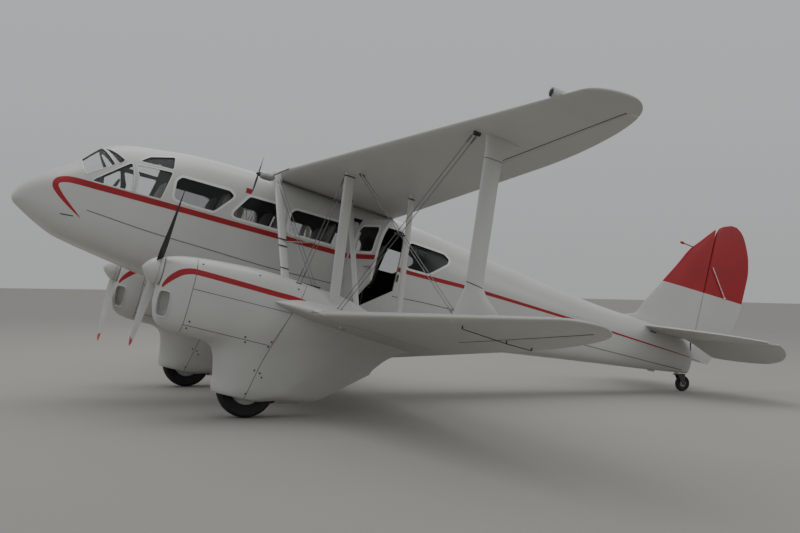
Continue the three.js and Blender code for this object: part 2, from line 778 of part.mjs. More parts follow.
// Bracing wires of one side, in close pairs: one pair rises from the foot of the front strut to the
// outer strut, the other falls from its top, and a spreader holds them where they cross
const wire = { radius: 7, sides: 4, outset: 55, pitch: 44 };
const innerWireY = innerStrutY + wire.outset;
const outerWireY = outerStrutY - wire.outset;
// Lower and upper end of the rising pair, then of the falling pair
const wireRuns = [
  [[3625, innerWireY, -830], [3520, outerWireY, 960]],
  [[3490, innerWireY, 840], [3742, outerWireY, -690]],
];

function bracingWires(side) {
  const sided = ([x, y, z], shift = 0) => [x + shift, side * y, z];
  const runs = wireRuns.map((ends) => ends.map((end) => sided(end)));
  const rods = wireRuns.flatMap((ends) => [-0.5, 0.5].map((share) => bar(
    ...ends.map((end) => sided(end, share * wire.pitch)), wire.radius, wire.sides,
  )));
  const half = wire.pitch / 2 + 14;
  const crossing = nearest(...runs);
  const middle = crossing[0].map((value, axis) => (value + crossing[1][axis]) / 2);
  const depth = Math.abs(crossing[0][0] - crossing[1][0]) / 2 + half;
  const spreader = block(
    [middle[0] - depth, middle[1] - 26, middle[2] - 9], [middle[0] + depth, middle[1] + 26, middle[2] + 9],
  );
  const fittings = wireRuns.map((ends) => ends[1]).map(([x, y, z]) => block(
    [x - half, side * y - 12, z - 45], [x + half, side * y + 12, z + 45],
  ));
  const web = joined(...rods, spreader, ...fittings);
  return largest(without(web, ...wingCutters(side), nacelleCutter(side)));
}

// Tail

// Level z, leading edge x, half thickness of the fin
const finLevels = [
  [250, 8430, 46], [338, 8520, 46], [350, 8640, 46], [400, 8770, 46], [620, 8890, 44],
  [990, 9120, 40], [1300, 9310, 36],
  [1560, 9460, 32], [1710, 9600, 28], [1850, 9725, 24], [1945, 9815, 18],
];
// Level z, front edge aft of the hinge, trailing edge x, half thickness of the rudder
const rudderLevels = [
  [-50, 0, 10190, 34], [110, 0, 10280, 38], [300, 0, 10390, 40], [520, 0, 10485, 40],
  [960, 0, 10565, 37], [1370, 0, 10570, 33], [1640, 0, 10520, 29], [1850, 0, 10425, 24],
  [1965, 20, 10350, 18], [2045, 110, 10270, 12], [2085, 220, 10190, 7],
];

function finRing([z, front, half]) {
  const rear = rudderHingeX - 46;
  const shares = [[0.06, 0.45], [0.2, 0.78], [0.5, 1], [1, 0.92]];
  const face = (side) => shares.map(
    ([share, width]) => [front + share * (rear - front), side * half * width, z],
  );
  return [[front, 0, z], ...face(1), ...face(-1).reverse()];
}

function rudderRing([z, offset, rear, half]) {
  const front = rudderHingeX + offset;
  const ring = [];
  const steps = 6;
  for (let k = 0; k <= steps; k += 1) {
    const turn = (Math.PI * k) / steps;
    ring.push([front - half * Math.sin(turn), half * Math.cos(turn), z]);
  }
  return [...ring, [rear, -4, z], [rear, 4, z]];
}

function fin() {
  return without(loft(finLevels.map(finRing)), fuselageBody(0, fuselageEnd, -seat), fixedTube(2 * seat));
}

const heelPin = { foot: -90, radius: 9 };

function rudder() {
  const foot = rudderLevels[0][0];
  const heel = bar([rudderHingeX, 0, heelPin.foot], [rudderHingeX, 0, foot + 20], heelPin.radius, 8);
  return loft(rudderLevels.map(rudderRing)).add(heel);
}

// Tube that turns with each elevator, and the distance y at which it meets the fixed one
const torqueTube = { radius: 20, end: 135, wall: 4 };

const fixedTube = (grow) => bar(
  [elevatorHinge.x, -torqueTube.end, elevatorHinge.z],
  [elevatorHinge.x, torqueTube.end, elevatorHinge.z], torqueTube.radius + torqueTube.wall + grow, 16,
);

// Distance y, leading edge x, half thickness of the tailplane
const tailplaneSpans = [
  [40, 8870, 46], [800, 9000, 40], [1500, 9135, 33], [1850, 9245, 26], [2080, 9345, 20], [2220, 9440, 14],
];
// Distance y, trailing edge x, half thickness of the elevator before it droops
const elevatorSpans = [
  [150, 9700, 38], [330, 10085, 37], [900, 10110, 34], [1500, 10085, 29],
  [1900, 9990, 23], [2120, 9880, 17], [2240, 9770, 12], [2290, 9680, 7],
];

function tailplane(side) {
  const rings = tailplaneSpans.map(([y, front, half]) => {
    const rear = elevatorHinge.x - half - play;
    const face = (sign) => [[0.08, 0.5], [0.3, 0.9], [0.6, 1], [1, 0.96]].map(
      ([share, width]) => [front + share * (rear - front), side * y, elevatorHinge.z + sign * half * width],
    );
    return [[front, side * y, elevatorHinge.z], ...face(1), ...face(-1).reverse()];
  });
  const finSpace = loft(finLevels.map(([z, front, half]) => finRing([z, front - 1, half + seat])));
  return without(loft(rings), fuselageBody(0, fuselageEnd, -seat), finSpace);
}

function elevator(side) {
  const rings = elevatorSpans.map(([y, rear, half]) => {
    const ring = [];
    for (let k = 0; k <= 5; k += 1) {
      const turn = (Math.PI * k) / 5;
      ring.push([-half * Math.sin(turn), side * y, half * Math.cos(turn)]);
    }
    return [...ring, [rear - elevatorHinge.x, side * y, -4], [rear - elevatorHinge.x, side * y, 4]];
  });
  const [first, last] = [elevatorSpans[0][0], torqueTube.end + seat];
  const tube = bar([0, side * (first + 5), 0], [0, side * last, 0], torqueTube.radius, 16);
  return loft(rings).add(tube).rotate([0, elevatorDroop, 0])
    .translate([elevatorHinge.x, 0, elevatorHinge.z]);
}

// Tail wheel, drawn upright about its axle and set level with the ground
const castor = {
  lead: 105, legInner: 38, legOuter: 48, crownLow: 128, crownHigh: 142, bossFoot: 148, bossTop: 225,
  radius: 24, axle: 10,
};

function tailFork() {
  const { lead, legInner, legOuter, crownLow, crownHigh, bossFoot, radius } = castor;
  const legTop = crownLow + 5;
  const legOutline = [[-22, -22], [22, -22], [18, legTop], [-lead, legTop], [-lead, crownLow]];
  const legs = [port, starboard].map((side) => {
    const [near, far] = [side * legInner, side * legOuter].sort((a, b) => a - b);
    return plate(legOutline, near, far);
  });
  const crown = block([-lead - 30, -legOuter, crownLow], [20, legOuter, crownHigh]);
  const post = bar([-lead, 0, crownHigh - 2], [-lead, 0, bossFoot - seat], radius, 20);
  const axle = bar([0, -legOuter, 0], [0, legOuter, 0], castor.axle, 16);
  return joined(crown, post, axle, ...legs);
}

// Sets a piece drawn upright about the tail wheel's axle into the airframe's axes
function levelled(shape) {
  return shape.rotate([0, -groundAngle / degree, 0]).translate([tailWheel.x, 0, tailWheel.z]);
}

function tyreProfile(radius, width, rim, hubWidth, bore) {
  const half = width / 2;
  const depth = radius - rim;
  const side = [
    [bore, hubWidth / 2], [bore + 30, hubWidth / 2], [rim * 0.6, hubWidth * 0.3],
    [rim, half * 0.72], [rim + depth * 0.35, half], [rim + depth * 0.78, half * 0.8], [radius, half * 0.28],
  ];
  return [...side, ...side.map(([r, h]) => [r, -h]).reverse()];
}

const hubHalf = 82;
const axlePlay = 1; // round the axles

function mainTyre() {
  const { x, z, radius, width } = mainWheel;
  return turned(tyreProfile(radius, width, 185, 2 * hubHalf, axleRadius + axlePlay), 26)
    .rotate([0, -groundAngle / degree, 0]).translate([x, 0, z]);
}

function tailTyre() {
  const hubWidth = 2 * (castor.legInner - seat);
  return turned(tyreProfile(tailWheel.radius, tailWheel.width, 66, hubWidth, castor.axle + axlePlay), 18);
}

const tailPad = { x: 9250, z: -365, radius: 55 };

// Rear fuselage with the tail wheel's boss, the elevators' fixed tube, a jacking pad under the tail
// and the foot that carries the rudder's heel pin
function rearFuselage() {
  const body = fuselageBody(shellEnd + seat, fuselageEnd);
  const boss = levelled(bar(
    [-castor.lead, 0, castor.bossFoot], [-castor.lead, 0, castor.bossTop], castor.radius + 8, 20,
  ));
  const hingeSpace = bar([rudderHingeX, 0, rudderLevels[0][0] - play], [rudderHingeX, 0, 600], 51, 24);
  const pad = bar([tailPad.x, 0, tailPad.z + 35], [tailPad.x, 0, tailPad.z], tailPad.radius, 16);
  const lugTop = heelPin.foot - seat;
  const heelLug = block([fuselageEnd - 70, -16, lugTop - 20], [rudderHingeX + 20, 16, lugTop]);
  return joined(body.add(boss).subtract(hingeSpace), pad, fixedTube(0), heelLug);
}

// Propellers: radius, chord, thickness and blade angle of each section of a blade
const bladeSections = [
  [60, 74, 56, 60], [160, 94, 42, 50], [320, 140, 28, 36], [600, 148, 16, 24],
  [860, 116, 10, 18], [980, 76, 7, 16], [1025, 34, 4, 15],
];
const propellerX = 1608;

function blade(scale = 1) {
  const outline = [[-0.5, 0], [-0.25, 0.45], [0.15, 0.45], [0.5, 0], [0.15, -0.2], [-0.25, -0.2]];
  return loft(bladeSections.map(([radius, chord, thickness, angle]) => outline.map(([u, v]) => {
    const [along, out] = [u * chord * scale, v * thickness * scale];
    const [c, s] = [Math.cos(angle * degree), Math.sin(angle * degree)];
    return [out * c * -1 + along * s, along * c + out * s, radius * scale];
  })));
}

function propeller(side, lean) {
  const shape = [0, 180].map((turn) => blade().rotate([turn + lean, 0, 0]));
  const nose = [];
  const steps = 5;
  const length = spinner.base - spinner.tip;
  for (let k = 0; k <= steps; k += 1) {
    const share = k / steps;
    nose.push([spinner.radius * (1 - (1 - share) ** 2) ** 0.8, -length * share]);
  }
  nose[0][0] = 0;
  const cone = turned([...nose, [0, -length]], 20)
    .rotate([0, 0, 90]).translate([spinner.tip - propellerX, 0, 0]);
  const shaftEnd = engine.front - propellerX - seat;
  const shaft = bar([spinner.base - propellerX - 5, 0, 0], [shaftEnd, 0, 0], shaftRadius, 20);
  return joined(cone, shaft, ...shape).translate([propellerX, side * mainWheel.y, thrustLine]);
}

// Wind-driven generator ahead of the port wing root
const generator = { x: 2640, y: -930, z: 655, radius: 48, length: 150 };

function generatorBody() {
  const { x, y, z, radius, length } = generator;
  const pod = joined(
    bar([x + 20, y, z], [x + 50, y, z], 26, 16, radius),
    bar([x + 50, y, z], [x + length, y, z], radius, 16),
    bar([x + length, y, z], [x + length + 60, y, z], radius, 16, 12),
  );
  // front x, rear x and level of the arm's ends
  const armEnds = [[x + 90, x + 150, z], [x + 350, x + 440, z + 200]];
  const arm = loft(armEnds.map(([front, rear, level]) => [
    [front, y - 12, level], [rear, y - 12, level], [rear, y + 12, level], [front, y + 12, level],
  ]));
  const foot = without(arm, wingPanel(wings.upper, port, centreHalf, 1200, seat));
  return pod.add(largest(foot));
}

function generatorPropeller() {
  const { x, y, z } = generator;
  const scale = 0.24;
  const blades = [0, 180].map((turn) => blade(scale).rotate([turn + 18, 0, 0]));
  const hub = bar([-30, 0, 0], [20 - seat, 0, 0], 12, 16, 26);
  return joined(hub, ...blades).translate([x, y, z]);
}

// Airframe assembly
const airframe = new THREE.Group();
airframe.rotation.y = groundAngle;

function add(name, shape, material) {
  const mesh = new THREE.Mesh(toGeometry(shape), material);
  mesh.name = name;
  airframe.add(mesh);
  return mesh;
}

add('nose_cone', fuselageBody(0, shellStart), white);
add('fuselage_shell', fuselageShell(), white);
add('canopy', canopy(), white);
const canopyBand = band(shellStart + 10, canopyRear - 20, sill + 2, 2 * wide);
add('cockpit_glass', lining(canopyBand, -wide, wide), glass);
add('cabin_glass_port', joined(
  lining(band(glassFront, 3940, glassFoot, glassTop), -wide, 0),
  lining(band(4830, glassRear, glassFoot - 25, glassTop), -wide, 0),
  lining(band(3850, 4900, 520, 560), -wide, 0),
  lining(band(3850, 3940, glassFoot, 560), -wide, 0),
  lining(band(4830, 4900, glassFoot, 560), -wide, 0),
), glass);
add('cabin_glass_starboard', lining(band(glassFront, glassRear, glassFoot - 25, glassTop), 0, wide), glass);
add('rear_fuselage', rearFuselage(), white);
add('cabin_floor', cabinFloor(), carpet);
add('pilot_seat', pilotSeat(), leather);
add('seats_port', cabinSeats(port, seatRows.port), leather);
add('seats_starboard', cabinSeats(starboard, seatRows.starboard), leather);

const swung = (shape) => shape.translate([-doorHinge.x, -doorHinge.y, 0])
  .rotate([0, 0, -doorAngle]).translate([doorHinge.x, doorHinge.y, 0]);
add('cabin_door', swung(doorPanel()), white);
add('door_glass', swung(lining(grown(doorWindow, 18), -wide, 0)), glass);

add('upper_centre_section', upperCentre(), white);
add('lower_centre_section', lowerCentre(), white);
for (const [label, side] of [['port', port], ['starboard', starboard]]) {
  add(`upper_wing_${label}`, upperWing(side), white);
  add(`lower_wing_${label}`, lowerWing(side), white);
  add(`upper_aileron_${label}`, aileron('upper', side), white);
  add(`lower_aileron_${label}`, aileron('lower', side), white);
  add(`cowling_${label}`, cowling(side), white);
  add(`engine_${label}`, engineBlock(side), darkMetal);
  add(`nacelle_${label}`, nacelle(side), white);
  add(`wheel_${label}`, moved(mainTyre(), side), rubber);
  add(`propeller_${label}`, propeller(side, side === port ? 31 : -12), steel);
  for (const name of Object.keys(struts)) add(`${name}_${label}`, strut(name, side), white);
  add(`outer_strut_${label}`, outerStrutShape(side), white);
  add(`bracing_wires_${label}`, bracingWires(side), steel);
  add(`tailplane_${label}`, tailplane(side), white);
  add(`elevator_${label}`, elevator(side), white);
}
add('fin', fin(), red);
add('rudder', rudder(), red);
add('tail_fork', levelled(tailFork()), steel);
add('tail_wheel', levelled(tailTyre()), rubber);
add('generator_body', generatorBody(), steel);
add('generator_propeller', generatorPropeller(), darkMetal);

// Stands the machine on the ground with its overall length centred
const group = new THREE.Group();
group.add(airframe);
group.updateMatrixWorld(true);
const bounds = new THREE.Box3().setFromObject(airframe, true);
airframe.position.set(-(bounds.min.x + bounds.max.x) / 2, 0, -bounds.min.z);

export default group;
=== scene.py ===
import math

import bmesh
import bpy
import numpy as np
from mathutils import Matrix, Vector
from mathutils.bvhtree import BVHTree


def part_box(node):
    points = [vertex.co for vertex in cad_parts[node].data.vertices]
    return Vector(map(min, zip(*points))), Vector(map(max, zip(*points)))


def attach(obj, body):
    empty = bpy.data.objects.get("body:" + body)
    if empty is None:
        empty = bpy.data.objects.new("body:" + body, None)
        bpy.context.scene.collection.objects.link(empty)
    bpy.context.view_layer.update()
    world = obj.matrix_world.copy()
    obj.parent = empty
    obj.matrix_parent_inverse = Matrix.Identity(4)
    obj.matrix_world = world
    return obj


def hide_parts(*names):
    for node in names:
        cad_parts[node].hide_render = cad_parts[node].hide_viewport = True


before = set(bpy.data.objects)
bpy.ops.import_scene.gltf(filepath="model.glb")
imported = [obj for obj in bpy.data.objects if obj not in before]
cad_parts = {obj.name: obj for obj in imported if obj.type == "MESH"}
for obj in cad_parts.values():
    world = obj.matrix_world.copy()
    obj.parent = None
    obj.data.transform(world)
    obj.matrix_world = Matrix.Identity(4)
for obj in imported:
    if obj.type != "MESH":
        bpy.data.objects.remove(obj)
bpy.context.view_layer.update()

MM = 0.001
PORT, STARBOARD = -1, 1
SIDES = (("port", PORT), ("starboard", STARBOARD))


# Driving dimensions, as in the part's source
SEAT = 0.3
PLAY = 7.0
WALL = 35.0
SHELL_START = 640.0
SHELL_END = 5600.0
FUSELAGE_END = 9850.0
CANOPY_REAR = 1735.0
SILL = 45.0
FLOOR_TOP = -550.0
MAIN_WHEEL = {"x": 2910.0, "y": 1853.0, "z": -1852.0, "radius": 335.0, "width": 195.0}
TAIL_WHEEL = {"x": 9833.0, "z": -418.0, "radius": 115.0, "width": 62.0}
THRUST_LINE = -822.0
SPINNER = {"tip": 1450.0, "base": 1660.0, "radius": 158.0}
PROPELLER_X = 1608.0
INNER_STRUT_Y = 2110.0
OUTER_STRUT_Y = 5350.0
RUDDER_HINGE_X = 9870.0
RUDDER_FOOT = -50.0
ELEVATOR_HINGE = {"x": 9600.0, "z": 250.0}
ELEVATOR_DROOP = 25.0
DOOR_HINGE = {"x": 4046.0, "y": -738.0}
DOOR_ANGLE = 82.0

wheel_base = math.hypot(TAIL_WHEEL["x"] - MAIN_WHEEL["x"], TAIL_WHEEL["z"] - MAIN_WHEEL["z"])
wheel_slope = math.atan2(TAIL_WHEEL["z"] - MAIN_WHEEL["z"], TAIL_WHEEL["x"] - MAIN_WHEEL["x"])
GROUND_ANGLE = wheel_slope + math.asin((MAIN_WHEEL["radius"] - TAIL_WHEEL["radius"]) / wheel_base)

# Where the airframe's axes lie once it is parked, found from the starboard main wheel's box
wheel_low, wheel_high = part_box("wheel_starboard")
turn_up = Matrix.Rotation(GROUND_ANGLE, 4, "Y")
wheel_drawn = Vector((MAIN_WHEEL["x"], MAIN_WHEEL["y"], MAIN_WHEEL["z"])) * MM
PARK = Matrix.Translation((wheel_low + wheel_high) / 2 - turn_up @ wheel_drawn) @ turn_up

# Turns the door, drawn shut, out about its hinge
door_pivot = Vector((DOOR_HINGE["x"], DOOR_HINGE["y"], 0)) * MM
SWING = (Matrix.Translation(door_pivot) @ Matrix.Rotation(math.radians(-DOOR_ANGLE), 4, "Z")
         @ Matrix.Translation(-door_pivot))


# Curves

def curve(table, column, stretch=lambda x: x):
    """A smooth curve through one column of a table whose first column is the position."""
    xs = stretch(np.array([row[0] for row in table], float))
    ys = np.array([row[column] for row in table], float)
    step = np.diff(xs)
    slope = np.diff(ys) / step
    tangent = np.empty_like(ys)
    tangent[0], tangent[-1] = slope[0], slope[-1]
    for k in range(1, len(xs) - 1):
        before, after = slope[k - 1], slope[k]
        if before * after <= 0:
            tangent[k] = 0.0
            continue
        w1 = 2 * step[k] + step[k - 1]
        w2 = step[k] + 2 * step[k - 1]
        tangent[k] = (w1 + w2) / (w1 / before + w2 / after)

    def value(x):
        u = np.clip(stretch(np.asarray(x, float)), xs[0], xs[-1])
        k = np.clip(np.searchsorted(xs, u, side="right") - 1, 0, len(xs) - 2)
        t = (u - xs[k]) / step[k]
        return ((2 * t**3 - 3 * t**2 + 1) * ys[k] + (t**3 - 2 * t**2 + t) * step[k] * tangent[k]
                + (3 * t**2 - 2 * t**3) * ys[k + 1] + (t**3 - t**2) * step[k] * tangent[k + 1])

    return value


def from_start(start):
    """Stretches positions so that a blunt nose stays round."""
    return lambda x: np.sqrt(np.maximum(x - start, 0.0) + 4.0)


def rounded(outline, radius, steps=6):
    """A closed outline of [x, z] corners with each corner turned into an arc of short chords."""
    corners = [np.array(p, float) for p in outline]
    points = []
    for k, corner in enumerate(corners):
        before, after = corners[k - 1], corners[(k + 1) % len(corners)]
        u = (before - corner) / np.linalg.norm(before - corner)
        v = (after - corner) / np.linalg.norm(after - corner)
        half = math.acos(float(np.clip(u @ v, -1, 1))) / 2
        reach = min(radius / math.tan(half), 0.45 * np.linalg.norm(before - corner),
                    0.45 * np.linalg.norm(after - corner))
        for step in range(steps + 1):
            t = step / steps
            a, b = corner + u * reach * (1 - t), corner + v * reach * t
            points.append(a * (1 - t) + b * t)
    return np.array(points)


def resampled(points, spacing=None, closed=True, count=None):
    """Points evenly spaced along a line of points, by their spacing or by their count."""
    points = np.array(points, float)
    if closed:
        points = np.vstack([points, points[:1]])
    lengths = np.concatenate([[0], np.cumsum(np.linalg.norm(np.diff(points, axis=0), axis=1))])
    count = count or max(3, int(round(lengths[-1] / spacing)))
    places = np.linspace(0, lengths[-1], count + (not closed), endpoint=not closed)
    return np.stack([np.interp(places, lengths, points[:, k]) for k in range(points.shape[1])], axis=1)


def flowing(points, spacing):
    """Evenly spaced points of a smooth line through rows of numbers."""
    points = np.array(points, float)
    ends = np.vstack([2 * points[0] - points[1], points, 2 * points[-1] - points[-2]])
    line = []
    for before, start, end, after in zip(ends, ends[1:], ends[2:], ends[3:]):
        square = 2 * before - 5 * start + 4 * end - after
        cube = 3 * start - before - 3 * end + after
        for t in np.linspace(0, 1, 12, endpoint=False):
            line.append(start + 0.5 * t * (end - before + t * (square + t * cube)))
    return resampled([*line, points[-1]], spacing, closed=False)


# Solids

def loft(rings, closed=False):
    """Vertices and faces of a solid through rings of points; closed joins the last ring to the first."""
    rings = np.asarray(rings, float)
    rows, sides = rings.shape[:2]
    faces = []
    for row in range(rows if closed else rows - 1):
        after = (row + 1) % rows * sides
        for k in range(sides):
            other = (k + 1) % sides
            faces.append((row * sides + k, row * sides + other, after + other, after + k))
    if not closed:
        faces += [tuple(range(sides))[::-1], tuple(range((rows - 1) * sides, rows * sides))]
    return rings.reshape(-1, 3), faces


def moved(geometry, offset):
    vertices, faces = geometry
    return np.asarray(vertices, float) + np.array(offset, float), faces


def joined(*geometries):
    """Several sets of vertices and faces as one."""
    vertices, faces, start = [], [], 0
    for points, polygons in geometries:
        vertices.append(np.asarray(points, float))
        faces += [tuple(k + start for k in polygon) for polygon in polygons]
        start += len(points)
    return np.vstack(vertices), faces


def turned_about(geometry, axis, degrees):
    """Turns vertices and faces about an axis through the origin."""
    vertices, faces = geometry
    return np.asarray(vertices, float) @ np.array(Matrix.Rotation(math.radians(degrees), 3, axis)).T, faces


def prism(outline, near, far):
    """A flat outline of [x, z] points, from y = near to y = far."""
    outline = np.array(outline, float)
    rings = [np.stack([outline[:, 0], np.full(len(outline), y), outline[:, 1]], axis=1) for y in (near, far)]
    return loft(rings)


def block(low, high):
    (x0, y0, z0), (x1, y1, z1) = low, high
    return loft([[(x, y0, z0), (x, y1, z0), (x, y1, z1), (x, y0, z1)] for x in (x0, x1)])


def tube(points, radii, sides=12):
    """A rod along a line of points."""
    points = np.array(points, float)
    radii = np.broadcast_to(np.asarray(radii, float), (len(points),))
    along = np.gradient(points, axis=0)
    along /= np.linalg.norm(along, axis=1)[:, None]
    first = np.array((0.13, 0.31, 0.94))
    turns = np.linspace(0, 2 * math.pi, sides, endpoint=False)
    rings = []
    for point, direction, radius in zip(points, along, radii):
        first = first - direction * (first @ direction)
        first /= np.linalg.norm(first)
        other = np.cross(direction, first)
        rings.append([point + radius * (math.cos(t) * first + math.sin(t) * other) for t in turns])
    return loft(rings)


def hoop(points, radius):
    """A closed rod along a loop of points."""
    points = np.array(points, float)
    along = np.roll(points, -1, axis=0) - np.roll(points, 1, axis=0)
    along /= np.linalg.norm(along, axis=1)[:, None]
    turns = np.linspace(0, 2 * math.pi, 8, endpoint=False)[:, None]
    rings = []
    for point, direction in zip(points, along):
        out = point - points.mean(axis=0)
        out -= direction * (out @ direction)
        out /= np.linalg.norm(out)
        rings.append(point + radius * (np.cos(turns) * out + np.sin(turns) * np.cross(direction, out)))
    return loft(rings, closed=True)


def circle(centre, radius, count):
    """Points round a circle that faces along x."""
    x, y, z = centre
    turns = np.linspace(0, 2 * math.pi, count, endpoint=False)
    return [(x, y + radius * math.cos(t), z + radius * math.sin(t)) for t in turns]


def lathe(profile, axis, sides):
    """A solid turned about x or y through the origin, from a closed profile of [radius, height]."""
    turns = np.linspace(0, 2 * math.pi, sides, endpoint=False)
    order = {"x": (2, 0, 1), "y": (0, 2, 1)}[axis]
    vertices, faces, rows = [], [], len(profile)
    for t in turns:
        for radius, height in profile:
            point = (radius * math.cos(t), radius * math.sin(t), height)
            vertices.append([point[k] for k in order])
    for k in range(sides):
        start, after = k * rows, (k + 1) % sides * rows
        for row in range(rows):
            other = (row + 1) % rows
            faces.append((start + row, start + other, after + other, after + row))
    return np.array(vertices), faces


def make(name, geometry, drawn_to):
    """A mesh object from vertices in millimetres, with its faces pointing out."""
    vertices, faces = geometry
    mesh = bpy.data.meshes.new(name)
    mesh.from_pydata([tuple(p) for p in np.asarray(vertices, float) * MM], [], faces)
    tidy = bmesh.new()
    tidy.from_mesh(mesh)
    bmesh.ops.remove_doubles(tidy, verts=tidy.verts, dist=1e-6)
    bmesh.ops.recalc_face_normals(tidy, faces=tidy.faces)
    tidy.to_mesh(mesh)
    tidy.free()
    mesh.transform(drawn_to)
    piece = bpy.data.objects.new(name, mesh)
    bpy.context.scene.collection.objects.link(piece)
    return piece


def solid(geometry):
    """A solid in the drawn axes, to be cut, joined or used up as a cutter."""
    return make("solid", geometry, Matrix.Identity(4))


def apply_modifiers(piece):
    """Replaces a piece's mesh by what its modifiers make of it."""
    result = bpy.data.meshes.new_from_object(piece.evaluated_get(bpy.context.evaluated_depsgraph_get()))
    piece.modifiers.clear()
    old = piece.data
    piece.data = result
    bpy.data.meshes.remove(old)


def mesh_points(piece):
    """A piece's vertices in millimetres."""
    points = np.empty(len(piece.data.vertices) * 3)
    piece.data.vertices.foreach_get("co", points)
    return points.reshape(-1, 3) / MM


def skin_of(piece):
    """Finds where a ray meets a piece's present surface: a point and its normal, or None twice."""
    tree = BVHTree.FromPolygons(mesh_points(piece).tolist(), [p.vertices[:] for p in piece.data.polygons])

    def meet(origin, direction):
        where, normal, _, _ = tree.ray_cast(Vector(origin), Vector(direction))
        return (None, None) if where is None else (np.array(where), np.array(normal))

    return meet


def combine(operation, target, *others):
    """Cuts (DIFFERENCE), joins (UNION) or crosses (INTERSECT) a solid with others, which are used up."""
    for other in others:
        change = target.modifiers.new("shape", "BOOLEAN")
        change.operation = operation
        change.solver = "MANIFOLD"
        change.object = other
        apply_modifiers(target)
        bpy.data.objects.remove(other)
    return target


def cut(target, *others):
    return combine("DIFFERENCE", target, *others)


def copied(piece, name):
    twin = piece.copy()
    twin.data = piece.data.copy()
    twin.name = name
    bpy.context.scene.collection.objects.link(twin)
    return twin


def place(piece, material, body="airframe", slot="paint", nodes=(), angle=35.0):
    """Finishes a piece: material, shading, the body it rides on and the nodes it stands for."""
    piece.data.materials.clear()
    for item in material if isinstance(material, list) else [material]:
        piece.data.materials.append(item)
    piece.data.shade_smooth()
    piece.data.set_sharp_from_angle(angle=math.radians(angle))
    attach(piece, body)
    if nodes:
        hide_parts(*nodes)
    return piece


def add(name, geometry, material, drawn_to=PARK, **finish):
    """Makes and finishes a piece that needs no cutting."""
    return place(make(name, geometry, drawn_to), material, **finish)


def set_down(piece, name, material, drawn_to=PARK, **finish):
    """Moves a finished solid from the drawn axes to where it is parked, and finishes it."""
    piece.data.transform(drawn_to)
    piece.name = piece.data.name = name
    return place(piece, material, **finish)


def paint_faces(piece, index, test, drawn_to=PARK):
    """Gives a material index to the faces whose centre and normal, in the drawn axes, pass a test."""
    back = drawn_to.inverted()
    turn = back.to_3x3()
    for polygon in piece.data.polygons:
        if test((back @ polygon.center) / MM, turn @ polygon.normal):
            polygon.material_index = index


# Materials

def new_material(name):
    material = bpy.data.materials.new(name)
    material.use_nodes = True
    nodes, links = material.node_tree.nodes, material.node_tree.links
    return material, nodes, links, nodes["Principled BSDF"]


def new_node(nodes, kind, inputs):
    """A shader node with some of its inputs set."""
    node = nodes.new(kind)
    for name, value in inputs.items():
        node.inputs[name].default_value = value
    return node


def noise(nodes, links, scale, detail):
    """Cloudy values from 0 to 1 in the piece's own coordinates."""
    node = new_node(nodes, "ShaderNodeTexNoise", {"Scale": scale, "Detail": detail, "Roughness": 0.55})
    links.new(nodes.new("ShaderNodeTexCoord").outputs["Object"], node.inputs["Vector"])
    return node.outputs["Fac"]


def ramp(nodes, links, source, stops):
    """A colour ramp with [position, colour] stops."""
    node = nodes.new("ShaderNodeValToRGB")
    elements = node.color_ramp.elements
    while len(elements) < len(stops):
        elements.new(0.5)
    for element, (position, colour) in zip(elements, stops):
        element.position = position
        element.color = (*colour, 1.0)
    links.new(source, node.inputs["Fac"])
    return node.outputs["Color"]


def bump(nodes, links, shader, source, strength, distance):
    node = new_node(nodes, "ShaderNodeBump", {"Strength": strength, "Distance": distance})
    links.new(source, node.inputs["Height"])
    links.new(node.outputs["Normal"], shader.inputs["Normal"])


def span(nodes, links, source, low, high):
    """Maps a 0 to 1 value onto low to high."""
    node = new_node(nodes, "ShaderNodeMapRange", {"To Min": low, "To Max": high})
    links.new(source, node.inputs["Value"])
    return node.outputs["Result"]


def cloudy(nodes, links, shader, colour, spread, scale, detail):
    """Base colour that drifts a little darker and lighter."""
    low, high = (tuple(min(1.0, max(0.0, c * k)) for c in colour) for k in (1 - spread, 1 + spread))
    tint = ramp(nodes, links, noise(nodes, links, scale, detail), [[0.3, low], [0.7, high]])
    links.new(tint, shader.inputs["Base Color"])


def uneven(nodes, links, shader, low, high, scale):
    """Roughness that drifts between low and high."""
    links.new(span(nodes, links, noise(nodes, links, scale, 3.0), low, high), shader.inputs["Roughness"])


ROUGHNESS_SPREAD = 0.06


def surface(name, colour, roughness, spread, scale, metallic=0.0, grain=0.0, grain_scale=300.0, coat=0.0):
    """A finish with cloudy colour, uneven roughness and a fine grain."""
    material, nodes, links, shader = new_material(name)
    cloudy(nodes, links, shader, colour, spread, scale, 4.0)
    uneven(nodes, links, shader, roughness - ROUGHNESS_SPREAD, roughness + ROUGHNESS_SPREAD, scale * 4)
    shader.inputs["Metallic"].default_value = metallic
    shader.inputs["Coat Weight"].default_value = coat
    if grain:
        bump(nodes, links, shader, noise(nodes, links, grain_scale, 2.0), grain, 0.001)
    return material


# Distance between ribs along the span, in metres
RIB_PITCH = 0.3


